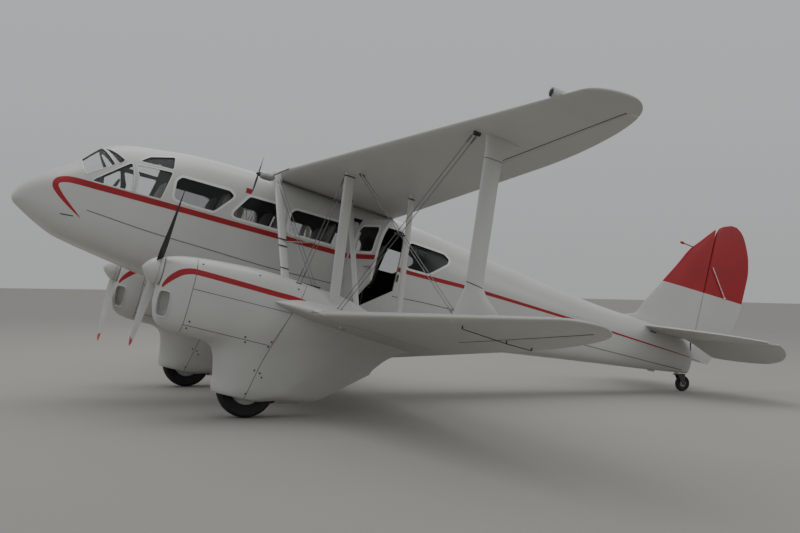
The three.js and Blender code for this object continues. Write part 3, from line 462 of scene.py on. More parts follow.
def ribbed(name, colour, roughness):
    """Doped cloth over evenly spaced ribs."""
    material = surface(name, colour, roughness, spread=0.04, scale=0.8)
    nodes, links = material.node_tree.nodes, material.node_tree.links
    split = nodes.new("ShaderNodeSeparateXYZ")
    links.new(nodes.new("ShaderNodeTexCoord").outputs["Object"], split.inputs["Vector"])
    fold = new_node(nodes, "ShaderNodeMath", {1: RIB_PITCH / 2})
    fold.operation = "PINGPONG"
    links.new(split.outputs["Y"], fold.inputs[0])
    ridge = new_node(nodes, "ShaderNodeMapRange", {"From Max": RIB_PITCH / 6, "To Min": 1.0, "To Max": 0.0})
    ridge.interpolation_type = "SMOOTHSTEP"
    links.new(fold.outputs["Value"], ridge.inputs["Value"])
    total = new_node(nodes, "ShaderNodeMath", {1: 0.06})
    total.operation = "MULTIPLY_ADD"
    links.new(noise(nodes, links, 700.0, 2.0), total.inputs[0])
    links.new(ridge.outputs["Result"], total.inputs[2])
    bump(nodes, links, nodes["Principled BSDF"], total.outputs["Value"], 0.35, 0.003)
    return material


white_paint = surface("white_paint", (0.55, 0.55, 0.525), 0.34, spread=0.035, scale=1.2, grain=0.04,
                      grain_scale=60.0, coat=0.15)
red_paint = surface("red_paint", (0.36, 0.006, 0.014), 0.42, spread=0.10, scale=2.0, grain=0.04,
                    grain_scale=60.0)
frame_paint = surface("frame_paint", (0.74, 0.74, 0.72), 0.32, spread=0.03, scale=6.0, coat=0.2)
wire_steel = surface("wire_steel", (0.20, 0.20, 0.195), 0.45, metallic=0.4, spread=0.15, scale=20.0)
seam_paint = surface("seam_paint", (0.16, 0.16, 0.155), 0.6, spread=0.15, scale=20.0)
duct_paint = surface("duct_paint", (0.045, 0.045, 0.045), 0.7, spread=0.25, scale=14.0)
fabric_paint = ribbed("fabric_paint", (0.53, 0.53, 0.505), 0.42)
# Cabin lining: partly the cloth's own dark colour, partly painted shade for the shadowed cabin walls and
# ceiling
lining_and_painted_shade = surface("lining_and_painted_shade", (0.055, 0.052, 0.050), 0.85, spread=0.2, scale=6.0, grain=0.3,
                       grain_scale=500.0)
black_rubber = surface("black_rubber", (0.018, 0.018, 0.019), 0.78, spread=0.25, scale=9.0, grain=0.35,
                       grain_scale=180.0)
joint_line = surface("joint_line", (0.06, 0.06, 0.055), 0.7, spread=0.2, scale=30.0)
steel = surface("steel", (0.42, 0.42, 0.40), 0.38, metallic=0.8, spread=0.12, scale=20.0)
dark_steel = surface("dark_steel", (0.07, 0.068, 0.065), 0.5, metallic=0.5, spread=0.3, scale=30.0)
blade_front = surface("blade_front", (0.50, 0.50, 0.48), 0.36, spread=0.06, scale=8.0)
blade_back = surface("blade_back", (0.022, 0.022, 0.024), 0.6, spread=0.3, scale=10.0)
blade_tip = surface("blade_tip", (0.50, 0.02, 0.03), 0.4, spread=0.1, scale=10.0)
seat_cloth = surface("seat_cloth", (0.52, 0.52, 0.50), 0.75, spread=0.08, scale=9.0, grain=0.4,
                     grain_scale=260.0)
engine_metal = surface("engine_metal", (0.05, 0.05, 0.052), 0.55, metallic=0.6, spread=0.3, scale=14.0,
                       grain=0.2, grain_scale=90.0)
carpet = surface("carpet", (0.05, 0.052, 0.056), 0.95, spread=0.25, scale=25.0, grain=0.8, grain_scale=900.0)
hub_paint = surface("hub_paint", (0.46, 0.47, 0.46), 0.45, spread=0.12, scale=12.0)


def clear_sheet(name, colour, alpha):
    """Thin clear glazing with faint smears in its gloss."""
    material, nodes, links, shader = new_material(name)
    uneven(nodes, links, shader, 0.02, 0.07, 5.0)
    cloudy(nodes, links, shader, colour, 0.04, 1.5, 2.0)
    shader.inputs["Alpha"].default_value = alpha
    shader.inputs["IOR"].default_value = 1.49
    return material


glazing = clear_sheet("glazing", (0.04, 0.045, 0.045), 0.22)
cockpit_glazing = clear_sheet("cockpit_glazing", (0.50, 0.53, 0.53), 0.08)
lamp_glass = clear_sheet("lamp_glass", (0.02, 0.02, 0.022), 0.95)
piping_cloth = surface("piping_cloth", (0.20, 0.20, 0.20), 0.8, spread=0.1, scale=40.0)
seat_frame_paint = surface("seat_frame_paint", (0.30, 0.31, 0.31), 0.5, spread=0.1, scale=10.0)


# Fuselage

# Station x, half width, top, bottom, widest level, power of the upper curve, of the lower curve
FUSELAGE = [
    [0, 40, -275, -350, -315, 2, 2],
    [25, 112, -215, -388, -300, 2.1, 2.2],
    [70, 180, -140, -418, -275, 2.2, 2.4],
    [150, 250, -52, -465, -235, 2.3, 2.7],
    [260, 325, 42, -525, -195, 2.4, 3],
    [400, 402, 142, -592, -145, 2.4, 3.4],
    [550, 468, 242, -652, -95, 2.4, 3.8],
    [680, 512, 345, -682, -60, 2.4, 4.2],
    [770, 540, 445, -698, -40, 2.35, 4.4],
    [860, 568, 530, -715, -20, 2.3, 4.6],
    [1050, 614, 622, -745, 0, 2.5, 4.8],
    [1260, 652, 664, -778, 0, 2.7, 5],
    [1600, 692, 706, -832, 0, 3, 5],
    [2000, 714, 750, -885, 0, 3.2, 5],
    [2500, 720, 764, -918, 0, 3.2, 5],
    [3200, 720, 762, -935, 0, 3.2, 5],
    [4200, 718, 722, -930, 0, 3.2, 5],
    [4900, 706, 680, -900, 0, 3, 5],
    [5600, 668, 606, -812, 0, 2.8, 5],
    [6500, 566, 508, -696, 0, 2.6, 4.6],
    [7000, 498, 452, -631, 0, 2.5, 4.4],
    [7500, 430, 402, -566, 0, 2.4, 4.2],
    [8300, 314, 346, -465, 0, 2.2, 3.8],
    [9100, 198, 318, -366, 0, 2.2, 3.4],
    [9850, 88, 290, -262, 0, 2.2, 3],
]
blunt = from_start(0.0)
half_width_at, top_at, bottom_at, middle_at, upper_power_at, lower_power_at = (
    curve(FUSELAGE, column, blunt) for column in range(1, 7)
)


def superellipse(turns, half, top, bottom, middle, upper_power, lower_power):
    """Points [across, up] of a rounded box section."""
    c, s = np.cos(turns), np.sin(turns)
    power = 2 / np.where(s >= 0, upper_power, lower_power)
    reach = np.where(s >= 0, top - middle, middle - bottom)
    across = half * np.sign(c) * np.abs(c) ** power
    return np.stack([across, middle + reach * np.sign(s) * np.abs(s) ** power], axis=1)


def fuselage_ring(x, inset=0.0, count=128):
    turns = np.linspace(0, 2 * math.pi, 720, endpoint=False)
    outline = superellipse(turns, half_width_at(x) - inset, top_at(x) - inset, bottom_at(x) + inset,
                           middle_at(x), upper_power_at(x), lower_power_at(x))
    y, z = resampled(outline, count=count).T
    return np.stack([np.full(count, x), y, z], axis=1)


def fuselage_solid(start, end, inset):
    """Fuselage between two stations, its surface moved in by an inset."""
    stations = np.linspace(start, end, max(2, int((end - start) / 60)) + 1)
    return loft([fuselage_ring(x, inset) for x in stations])


def side_y(x, z):
    """Half width of the fuselage at a station x and a level z."""
    middle = middle_at(x)
    upper = z >= middle
    reach = np.where(upper, top_at(x) - middle, middle - bottom_at(x))
    power = np.where(upper, upper_power_at(x), lower_power_at(x))
    share = np.clip(np.abs(z - middle) / reach, 0, 0.9999)
    return half_width_at(x) * (1 - share**power) ** (1 / power)


def side_normal(x, z):
    """Outward direction of the fuselage's surface on the starboard side."""
    step = 4.0
    slope_x = (side_y(x + step, z) - side_y(x - step, z)) / (2 * step)
    slope_z = (side_y(x, z + step) - side_y(x, z - step)) / (2 * step)
    normal = np.stack([-slope_x, np.ones_like(slope_x), -slope_z], axis=-1)
    return normal / np.linalg.norm(normal, axis=-1, keepdims=True)


def on_side(points, side, out):
    """Points in space for [x, z] points on the fuselage's side, stood off the skin by out."""
    points = np.asarray(points, float)
    x, z = points[:, 0], points[:, 1]
    place_3d = np.stack([x, side_y(x, z), z], axis=1) + side_normal(x, z) * np.reshape(out, (-1, 1))
    place_3d[:, 1] *= side
    return place_3d


def across_line(points, closed):
    """Unit [x, z] directions to the left of a line of points."""
    if closed:
        along = np.roll(points, -1, axis=0) - np.roll(points, 1, axis=0)
    else:
        along = np.gradient(points, axis=0)
    along /= np.linalg.norm(along, axis=1)[:, None]
    return np.stack([-along[:, 1], along[:, 0]], axis=1)


def seated_on(piece):
    """Places [x, z] points on either side of a solid, as on_side does on the fuselage."""
    skin = skin_of(piece)

    def seat_on(points, side, out=0.0):
        outs = np.broadcast_to(np.asarray(out, float), (len(points),))
        found, last = [], None
        for (x, z), lift in zip(points, outs):
            where, normal = skin((x, side * WIDE, z), (0, -side, 0))
            last = last if where is None else (where, normal)
            found.append(last[0] + last[1] * lift)
        return np.array(found)

    return seat_on


def side_band(points, section, side, closed=False, seat_on=on_side):
    """A moulding along [x, z] points on the side: section is [offset across, height] corners."""
    points = np.asarray(points, float)
    left = across_line(points, closed)
    columns = []
    for offset, height in section:
        offset = np.broadcast_to(np.asarray(offset, float), (len(points),))
        columns.append(seat_on(points + left * offset[:, None], side, np.full(len(points), float(height))))
    return loft(np.stack(columns, axis=1), closed)


def stripe(points, half_widths, side, lift=1.2, columns=5, seat_on=on_side):
    """A painted band along [x, z] points on the side."""
    shares = np.linspace(-1, 1, columns)
    top = [(share * half_widths, lift) for share in shares]
    under = [(share * half_widths, -3.0) for share in shares[::-1]]
    return side_band(points, top + under, side, seat_on=seat_on)


def frame_band(outline, side, radius, width, height):
    """A raised moulding just outside an outline on the fuselage's side."""
    loop = resampled(rounded(outline, radius), 24.0)
    x, z = loop.T
    if np.sum(x * np.roll(z, -1) - np.roll(x, -1) * z) > 0:
        loop = loop[::-1]
    section = [(-1, -3), (-1, height), (width - 4, height), (width, height - 3), (width, -3)]
    return side_band(loop, section, side, closed=True)


def frame_bands(outlines, side, radius, width, height):
    return joined(*(frame_band(outline, side, radius, width, height) for outline in outlines))


CABIN_WINDOWS = [
    [[1765, 105], [1755, 325], [1805, 385], [2405, 385], [2480, 335], [2270, 88], [1990, 88]],
    [[2470, 88], [2665, 385], [3070, 385], [3115, 335], [3155, 88]],
    [[3220, 88], [3220, 335], [3270, 385], [3865, 385], [3915, 335], [3915, 88]],
]
DOOR_WINDOW = [[4135, 75], [4135, 345], [4185, 400], [4600, 400], [4650, 345], [4650, 75]]
AFT_WINDOW = [[4860, 60], [4850, 395], [5370, 372], [5455, 320], [5440, 255], [5200, 62]]
DOOR_OUTLINE = [[4050, -555], [4050, 500], [4755, 500], [4755, -270], [4385, -555]]
SIDE_PANES = [
    [[800, 62], [1185, 385], [1212, 388], [1258, 230], [1272, 62]],
    [[1325, 60], [1330, 235], [1255, 392], [1690, 412], [1622, 60]],
    [[1292, 446], [1322, 474], [1400, 533], [1690, 615], [1690, 450]],
]
# Corners on the skin of the windscreen and of the narrow pane behind it, and the way they face
SLANTED_PANES = [
    [[668, 28, 338], [850, 28, 520], [1035, 555, 318], [728, 500, 112]],
    [[868, 150, 504], [1140, 545, 400], [1068, 560, 336]],
]
PANE_FACING = np.array([-0.584, 0.437, 0.683])
WIDE = 1000.0
CORNER = 55.0
PANE_CORNER = 18.0
DOOR_CORNER = 30.0
GLASS = (14.0, 18.0)
GLASS_LAP = 5.0
# Width and height of the mouldings round the cockpit's panes and round the windows
PANE_MOULDING = (13.0, 3.0)
WINDOW_MOULDING = (28.0, 4.0)


def grown(outline, margin):
    outline = np.array(outline, float)
    middle = outline.mean(axis=0)
    return outline + margin * np.sign(outline - middle)


def pane_form(outline, near, far, radius=CORNER):
    """Block through a window's opening and the lap of the glass round it."""
    return prism(rounded(grown(outline, GLASS_LAP), radius), near, far)


def window_cutter(outline, near, far, radius=CORNER):
    return solid(prism(rounded(outline, radius), near, far))


def slanted_form(corners, side, margin=0.0):
    """Slanted block through one pane of the windscreen."""
    corners = rounded(corners, PANE_CORNER)
    away = corners - corners.mean(axis=0)
    corners = corners + margin * away / np.linalg.norm(away, axis=1)[:, None]
    return loft([(corners + PANE_FACING * reach) * np.array([1, side, 1]) for reach in (130.0, -60.0)])


def shell_between(start, end, outer, inner):
    """Hollow length of fuselage between two insets from its surface."""
    return cut(solid(fuselage_solid(start, end, outer)), solid(fuselage_solid(start - 5, end + 5, inner)))


def glaze(name, start, end, panes, material, **finish):
    """Sheet of glazing under the skin, kept where its panes are."""
    sheet = shell_between(start, end, *GLASS)
    combine("INTERSECT", sheet, solid(joined(*panes)))
    set_down(sheet, name, material, slot="glazing", **finish)


def inside_face(centre, normal):
    """Whether a face of the wall looks into the cabin."""
    return normal.y * centre.y + normal.z * centre.z < 0


def nose_cone():
    stations = np.linspace(0, 25.2, 26) ** 2
    rings = [fuselage_ring(x, count=96) for x in [*stations, SHELL_START]]
    first = rings[0]
    centre = first.mean(axis=0)
    cap = []
    for share in (0.25, 0.5, 0.75, 0.92):
        ring = centre + (first - centre) * share
        ring[:, 0] = -7.0 * math.sqrt(1 - share**2)
        cap.append(ring)
    add("nose_cone_skin", loft(cap + rings), white_paint, nodes=["nose_cone"])


# Levels of the door's two hinges, and the size of their barrels
HINGE_LEVELS = (330.0, -330.0)
KNUCKLE = {"radius": 11.0, "half": 30.0, "end": 52.0}
LEAF_ON_SHELL, LEAF_ON_DOOR = -14.0, 22.0


def knuckle(level, low, high, reach):
    """Hinge barrel with its leaf."""
    x, y = DOOR_HINGE["x"], DOOR_HINGE["y"]
    barrel = solid(tube([(x, y, level + low), (x, y, level + high)], KNUCKLE["radius"], 20))
    near, far = sorted((x, x + reach))
    return combine("UNION", barrel, solid(block((near, y + 2, level + low), (far, y + 60, level + high))))


def cabin_shell():
    shell = shell_between(SHELL_START + SEAT, SHELL_END, 0.0, WALL)
    cut(shell, solid(block((0, -WIDE, SILL - SEAT), (CANOPY_REAR + SEAT, WIDE, WIDE))))
    for outline in [*CABIN_WINDOWS, AFT_WINDOW]:
        cut(shell, window_cutter(outline, -WIDE, WIDE))
    cut(shell, window_cutter(DOOR_WINDOW, 0, WIDE))
    cut(shell, window_cutter(grown(DOOR_OUTLINE, PLAY), -WIDE, 0, DOOR_CORNER))
    half, end = KNUCKLE["half"], KNUCKLE["end"]
    for level in HINGE_LEVELS:
        for low, high in ((half + SEAT, end), (-end, -half - SEAT)):
            combine("UNION", shell, knuckle(level, low, high, LEAF_ON_SHELL))
    set_down(shell, "cabin_skin", [white_paint, lining_and_painted_shade], nodes=["fuselage_shell"])
    # Faces that look into the cabin take the dark lining, which also paints the cabin's shade
    paint_faces(shell, 1, inside_face)


def canopy():
    top = shell_between(SHELL_START + SEAT, CANOPY_REAR + 100, 0.0, WALL)
    combine("INTERSECT", top, solid(block((0, -WIDE, SILL), (CANOPY_REAR, WIDE, WIDE))))
    skin = skin_of(top)
    for outline in SIDE_PANES:
        cut(top, window_cutter(outline, -WIDE, WIDE, PANE_CORNER))
    for corners in SLANTED_PANES:
        for side in (PORT, STARBOARD):
            cut(top, solid(slanted_form(corners, side)))
    set_down(top, "canopy_frame", [white_paint, lining_and_painted_shade], nodes=["canopy"])
    # Faces that look into the cockpit take the dark lining, which also paints the cabin's shade
    paint_faces(top, 1, inside_face)
    for label, side in SIDES:
        edges = []
        flip = np.array([1, side, 1])
        for corners in SLANTED_PANES:
            loop = resampled(rounded(corners, PANE_CORNER), 40.0)
            found = [skin((point + PANE_FACING * 250.0) * flip, -PANE_FACING * flip)[0] for point in loop]
            edges.append(hoop([point for point in found if point is not None], 7.0))
        add(f"windscreen_edges_{label}", joined(*edges), frame_paint)
        add(f"pane_frames_{label}", frame_bands(SIDE_PANES, side, PANE_CORNER, *PANE_MOULDING), frame_paint)
        panes = [slanted_form(corners, side, GLASS_LAP) for corners in SLANTED_PANES]
        glaze(f"windscreen_{label}", SHELL_START + 2, 1300, panes, cockpit_glazing)
    panes = [pane_form(outline, -WIDE, WIDE, PANE_CORNER) for outline in SIDE_PANES]
    glaze("cockpit_side_panes", SHELL_START + 2, CANOPY_REAR, panes, cockpit_glazing,
          nodes=["cockpit_glass"])


def cabin_windows():
    """Glass and mouldings of the windows in the cabin wall."""
    for label, side in SIDES:
        outlines = [*CABIN_WINDOWS, AFT_WINDOW] + ([DOOR_WINDOW] if side == STARBOARD else [])
        near, far = sorted((0, side * WIDE))
        panes = [pane_form(outline, near, far) for outline in outlines]
        glaze(f"cabin_panes_{label}", CANOPY_REAR, SHELL_END - 50, panes, glazing,
              nodes=[f"cabin_glass_{label}"])
        add(f"window_frames_{label}", frame_bands(outlines, side, CORNER, *WINDOW_MOULDING), frame_paint)


# Inside grip of the door: x, z and distance out from the skin along it, and the ends of its boss
DOOR_GRIP = [[4690, -120, 0], [4690, -120, 28], [4620, -120, 30], [4560, -123, 26]]
GRIP_RADII = [9, 9, 8, 5]
GRIP_BOSS = {"place": [4690, -120], "outs": [-2, 8], "radius": 24.0}


def door():
    """Door, drawn shut and then swung out, with its window, handle and length of stripe."""
    front, rear = DOOR_OUTLINE[0][0], DOOR_OUTLINE[2][0]
    on_door = {"drawn_to": PARK @ SWING, "body": "door"}
    panel = shell_between(front - 60, rear + 60, 0.0, WALL)
    combine("INTERSECT", panel, window_cutter(DOOR_OUTLINE, -WIDE, 0, DOOR_CORNER))
    cut(panel, window_cutter(DOOR_WINDOW, -WIDE, 0))
    for level in HINGE_LEVELS:
        combine("UNION", panel, knuckle(level, -KNUCKLE["half"], KNUCKLE["half"], LEAF_ON_DOOR))
    set_down(panel, "door_panel", [white_paint, lining_and_painted_shade], nodes=["cabin_door"], **on_door)
    # Faces of the door that look into the cabin take the dark lining, which also paints the cabin's shade
    paint_faces(panel, 1, inside_face, PARK @ SWING)
    panes = [pane_form(DOOR_WINDOW, -WIDE, 0)]
    glaze("door_pane", front, rear, panes, glazing, nodes=["door_glass"], **on_door)
    frame_form = frame_band(DOOR_WINDOW, PORT, CORNER, *WINDOW_MOULDING)
    add("door_window_frame", frame_form, frame_paint, **on_door)
    line = cheat_line(front + 3, rear - 3)
    add("door_stripe", stripe(line[:, :2], line[:, 2], PORT), red_paint, **on_door)
    grip = np.array(DOOR_GRIP, float)
    handle = tube(on_side(grip[:, :2], PORT, grip[:, 2]), GRIP_RADII)
    boss = tube(on_side([GRIP_BOSS["place"]] * 2, PORT, GRIP_BOSS["outs"]), GRIP_BOSS["radius"], 24)
    add("door_handle", joined(handle, boss), steel, slot="steel", **on_door)


# Stripes: x, z and half width along the middle of each
HOOK = [
    [790, -402, 1.5], [690, -330, 13], [575, -243, 22], [480, -160, 29], [428, -92, 34],
    [440, -30, 36], [520, 6, 37], [640, 16, 38], [900, 9, 37],
]
WAIST = [
    [900, 9, 37], [1500, 3, 36], [2500, 2, 33], [3400, 4, 31], [4500, 6, 29], [5200, 15, 27],
    [5900, 30, 24], [7000, 25, 19], [8000, 14, 14], [8900, -3, 9], [9810, -22, 4],
]
# Short dark slot on the side of the nose
NOSE_VENT = [[561, -408], [707, -400]]
# Small red square above the cabin windows: the middle line, and half its height
RED_SQUARE = [[2600, 452], [2672, 452]]
RED_SQUARE_HALF = 33.0
# Grab handle behind the door, and the ends, half width and depths of the post seen through its opening
GRAB_HANDLE = [[4785, -60], [4785, -150]]
DOOR_POST = {"line": [[4095, -545], [4095, 490]], "half": 45.0, "depths": (20.0, 32.0)}
STRINGER = [
    [840, -292], [1000, -308], [1600, -357], [2350, -380], [3120, -401], [4040, -385],
]
AFT_STRINGER = [[4770, -345], [5460, -310], [7000, -290], [8160, -270], [9710, -235]]


def cheat_line(start, end):
    """Middle and half width of the waist stripe between two stations."""
    line = flowing(WAIST, 60.0)
    xs = np.array([start, *line[(line[:, 0] > start + 5) & (line[:, 0] < end - 5), 0], end])
    return np.stack([xs, *(np.interp(xs, line[:, 0], line[:, k]) for k in (1, 2))], axis=1)


def seam(points, half_width, side, lift, **seated):
    """A dark line along [x, z] points on the side."""
    return stripe(points, half_width, side, lift, 3, **seated)


def stripes():
    nose, tail = HOOK[-1][0], WAIST[-1][0]
    for label, side in SIDES:
        ends = [nose, tail]
        if side == PORT:
            ends[1:1] = [DOOR_OUTLINE[0][0] - PLAY, DOOR_OUTLINE[2][0] + PLAY]
        runs = [flowing(HOOK, 14.0), *(cheat_line(*pair) for pair in zip(ends[::2], ends[1::2]))]
        bands = joined(*(stripe(run[:, :2], run[:, 2], side) for run in runs))
        add(f"waist_stripe_{label}", bands, red_paint)
        seams = [seam(flowing(line, 60.0), 5.0, side, 2.0) for line in (STRINGER, AFT_STRINGER)]
        add(f"side_seam_{label}", joined(*seams), seam_paint)
        vent = resampled(NOSE_VENT, 30, closed=False)
        add(f"nose_vent_{label}", seam(vent, 6.0, side, 2.0), joint_line)
    add("grab_handle", tube(on_side(GRAB_HANDLE, PORT, [4, 4]), 12), joint_line)
    half, (near, far) = DOOR_POST["half"], (-WALL - depth for depth in DOOR_POST["depths"])
    section = [(-half, far), (-half, near), (half, near), (half, far)]
    add("door_post", side_band(resampled(DOOR_POST["line"], 60, closed=False), section, PORT), white_paint)
    mark = resampled(RED_SQUARE, 12, closed=False)
    for label, side in SIDES:
        add(f"red_square_{label}", stripe(mark, RED_SQUARE_HALF, side), red_paint)


# Cabin fittings

CABIN_SEAT = {"y": 400.0, "width": 430.0, "depth": 440.0, "top": -130.0, "back_top": 370.0}
PILOT_SEAT = {"x": 1420.0, "width": 460.0, "depth": 420.0, "top": -190.0, "back_top": 330.0}
SEAT_ROWS = {"port": (2150.0, 2900.0, 3560.0), "starboard": (2150.0, 2900.0, 3650.0, 4560.0)}
PAD = {"height": 108.0, "thickness": 84.0, "shrink": 14.0, "voxel": 12.0, "cap": 24.0}
# Gap round each pad, and how far a seat's legs stand from its middle
PAD_GAP = 4.0
SEAT_LEG = {"along": 150.0, "across": 120.0}
# Front of a seat's back: distance behind the seat's middle, at a depth below the cushion's top
BACK_FRONT = {"behind": 130.0, "depth": 60.0}
# Shell behind the back: gap, thickness, narrower by, down past the pad, below the pad's top
SHELL = {"gap": 3.0, "thick": 6.0, "inset": 22.0, "down": 70.0, "below": 18.0}
# Pan under the cushion: insets from its front, rear and sides, and depths of its two faces
PAN = {"front": 15.0, "rear": 4.0, "side": 12.0, "top": 2.0, "foot": 9.0}
LEG_RADIUS, RAIL_RADIUS, RAIL_LEVEL = 11.0, 9.0, FLOOR_TOP + 30
BACK_SLOPE = 0.214
BACK_TAPER = 0.12


def pad_form(width, depth, height):
    """Plump block with rounded edges, standing on z = 0 about the origin."""
    turns = np.linspace(0, 2 * math.pi, 65)[:-1]
    rings = []
    for share in np.sin(np.linspace(-math.pi / 2, math.pi / 2, 13)):
        edge = 14.0 * (1 - math.sqrt(max(0.0, 1 - abs(share) ** 3)))
        ring = superellipse(turns, depth / 2 - edge, width / 2 - edge, edge - width / 2, 0, 7, 7)
        rings.append([(a, b, (share + 1) / 2 * height) for a, b in ring])
    return loft(rings)


def evened(piece, size):
    """Rebuilds a solid from even cells of a size in millimetres."""
    remesh = piece.modifiers.new("even", "REMESH")
    remesh.mode = "VOXEL"
    remesh.voxel_size = size * MM
    apply_modifiers(piece)


def set_points(piece, points):
    """Moves a piece's vertices to points in millimetres."""
    piece.data.vertices.foreach_set("co", (points * MM).ravel())
    piece.data.update()


def stuffed(piece):
    """Swells a pad as its filling does, and keeps any point from moving further than the cap."""
    evened(piece, PAD["voxel"])
    start = mesh_points(piece)
    scene = bpy.context.scene
    cloth = piece.modifiers.new("filling", "CLOTH")
    cloth.settings.use_pressure = True
    cloth.settings.uniform_pressure_force = 4.0
    cloth.settings.effector_weights.gravity = 0.0
    for number in range(1, 21):
        scene.frame_set(number)
    apply_modifiers(piece)
    scene.frame_set(1)
    shift = mesh_points(piece) - start
    length = np.linalg.norm(shift, axis=1)[:, None]
    cap = PAD["cap"]
    share = np.minimum(1.0, cap * np.tanh(length / cap) / np.maximum(length, 1e-6))
    set_points(piece, start + shift * share)
    return piece


def fitted(pad, name, low, high, lean=0.0, taper=0.0):
    """Copy of a pad that fills a box, narrowed and leaned back with its height."""
    piece = copied(pad, name)
    points = mesh_points(piece)
    first, last = points.min(axis=0), points.max(axis=0)
    shares = (points - first) / (last - first)
    low, high = np.array(low, float), np.array(high, float)
    points = low + shares * (high - low)
    middle = (low[1] + high[1]) / 2
    points[:, 1] = middle + (points[:, 1] - middle) * (1 - 2 * taper * shares[:, 2])
    points[:, 0] += lean * (points[:, 2] - low[2])
    set_points(piece, points)
    set_down(piece, name, seat_cloth, slot="seat_leather", angle=60.0)


def piping(x, y, z, width, depth):
    """Cord sewn round the middle of a cushion."""
    turns = np.linspace(0, 2 * math.pi, 57)[:-1]
    ring = superellipse(turns, depth / 2, width / 2, -width / 2, 0, 7, 7)
    return hoop([(x + a, y + b, z) for a, b in ring], 5.0)


def seat(label, x, y, size, cushion, back):
    """Cushion and back of one seat; gives the form of its frame (shell, pan, legs, rails) and its piping."""
    width, depth, top = size["width"], size["depth"], size["top"]
    foot = top - PAD["height"]
    half, reach = width / 2 - PAD_GAP, depth / 2 - PAD_GAP
    fitted(cushion, f"cushion_{label}", (x - reach, y - half, foot), (x + reach, y + half, top))
    start = top + 2.0

    def face(z):
        return x + BACK_FRONT["behind"] + (z - top + BACK_FRONT["depth"]) * BACK_SLOPE

    fitted(back, f"back_{label}", (face(start), y - half, start),
           (face(start) + PAD["thickness"], y + half, size["back_top"]), BACK_SLOPE, BACK_TAPER)
    shell = []
    levels = (start - SHELL["down"], start, size["back_top"] - SHELL["below"])
    for z, narrowed in zip(levels, (0, 0, BACK_TAPER)):
        near = face(z) + PAD["thickness"] + SHELL["gap"]
        far, side = near + SHELL["thick"], width / 2 - SHELL["inset"] - narrowed * width
        shell.append([(near, y - side, z), (far, y - side, z), (far, y + side, z), (near, y + side, z)])
    across = width / 2 - PAN["side"]
    pan = block((x - depth / 2 + PAN["front"], y - across, foot - PAN["foot"]),
                (x + depth / 2 - PAN["rear"], y + across, foot - PAN["top"]))
    along, sides = SEAT_LEG["along"], (y - SEAT_LEG["across"], y + SEAT_LEG["across"])
    legs = [tube([(x + end, leg, FLOOR_TOP + 1), (x + end * 0.9, leg, foot - 6)], LEG_RADIUS)
            for end in (-along, along) for leg in sides]
    rails = [tube([(x - along, leg, RAIL_LEVEL), (x + along, leg, RAIL_LEVEL)], RAIL_RADIUS)
             for leg in sides]
    cord = piping(x, y, foot + PAD["height"] / 2, 2 * half, 2 * reach)
    return joined(loft(shell), pan, *legs, *rails), cord


def seat_row(label, y, places, size, pads, frame_name, node, rails=()):
    """Seats one behind the other, with one piece for their frames and one for their piping."""
    found = [seat(f"{label}_{k}", x, y, size, *pads) for k, x in enumerate(places)]
    forms, cords = zip(*found)
    add(frame_name, joined(*rails, *forms), seat_frame_paint, slot="steel", nodes=[node])
    add(f"seat_piping_{label}", joined(*cords), piping_cloth, slot="seat_leather")


def seats():
    shrink = 2 * PAD["shrink"]
    width = CABIN_SEAT["width"] - shrink
    cushion = pad_form(width, CABIN_SEAT["depth"] - shrink, PAD["height"] - shrink)
    back = pad_form(width, CABIN_SEAT["back_top"] - CABIN_SEAT["top"] - shrink, PAD["thickness"] - shrink)
    pads = [stuffed(solid(cushion)), stuffed(solid(turned_about(back, "Y", 90)))]
    for label, side in SIDES:
        y, places = side * CABIN_SEAT["y"], SEAT_ROWS[label]
        rails = [block((places[0] - SEAT_LEG["along"], y + across - 9, FLOOR_TOP + SEAT),
                       (places[-1] + SEAT_LEG["along"], y + across + 9, FLOOR_TOP + 18))
                 for across in (-SEAT_LEG["across"], SEAT_LEG["across"])]
        seat_row(label, y, places, CABIN_SEAT, pads, f"seat_frames_{label}", f"seats_{label}", rails)
    seat_row("pilot", 0.0, [PILOT_SEAT["x"]], PILOT_SEAT, pads, "seat_frame_pilot", "pilot_seat")
    for pad in pads:
        bpy.data.objects.remove(pad)


# Dials on the instrument board: y, z and radius
DIALS = [
    [-300, 130, 42], [-195, 130, 42], [-90, 130, 42], [90, 130, 42], [195, 130, 42], [300, 130, 42],
    [-240, 30, 34], [-150, 30, 34], [150, 30, 34], [240, 30, 34], [0, 90, 50], [0, -20, 30],
]
# Rear face of the instrument board: x and level of its top, its height and how far back its foot leans
BOARD = {"x": 935.0, "top": 215.0, "height": 195.0, "lean": 30.0}
CONTROL_WHEEL = {"centre": [1105.0, 0.0, 60.0], "radius": 165.0, "lean": 0.35}
CONTROL_COLUMN = [[1045, 0, 40], [1030, 0, -150], [1020, 0, FLOOR_TOP + 2]]
SPOKE_TURNS = (math.pi / 2, math.pi * 7 / 6, math.pi * 11 / 6)


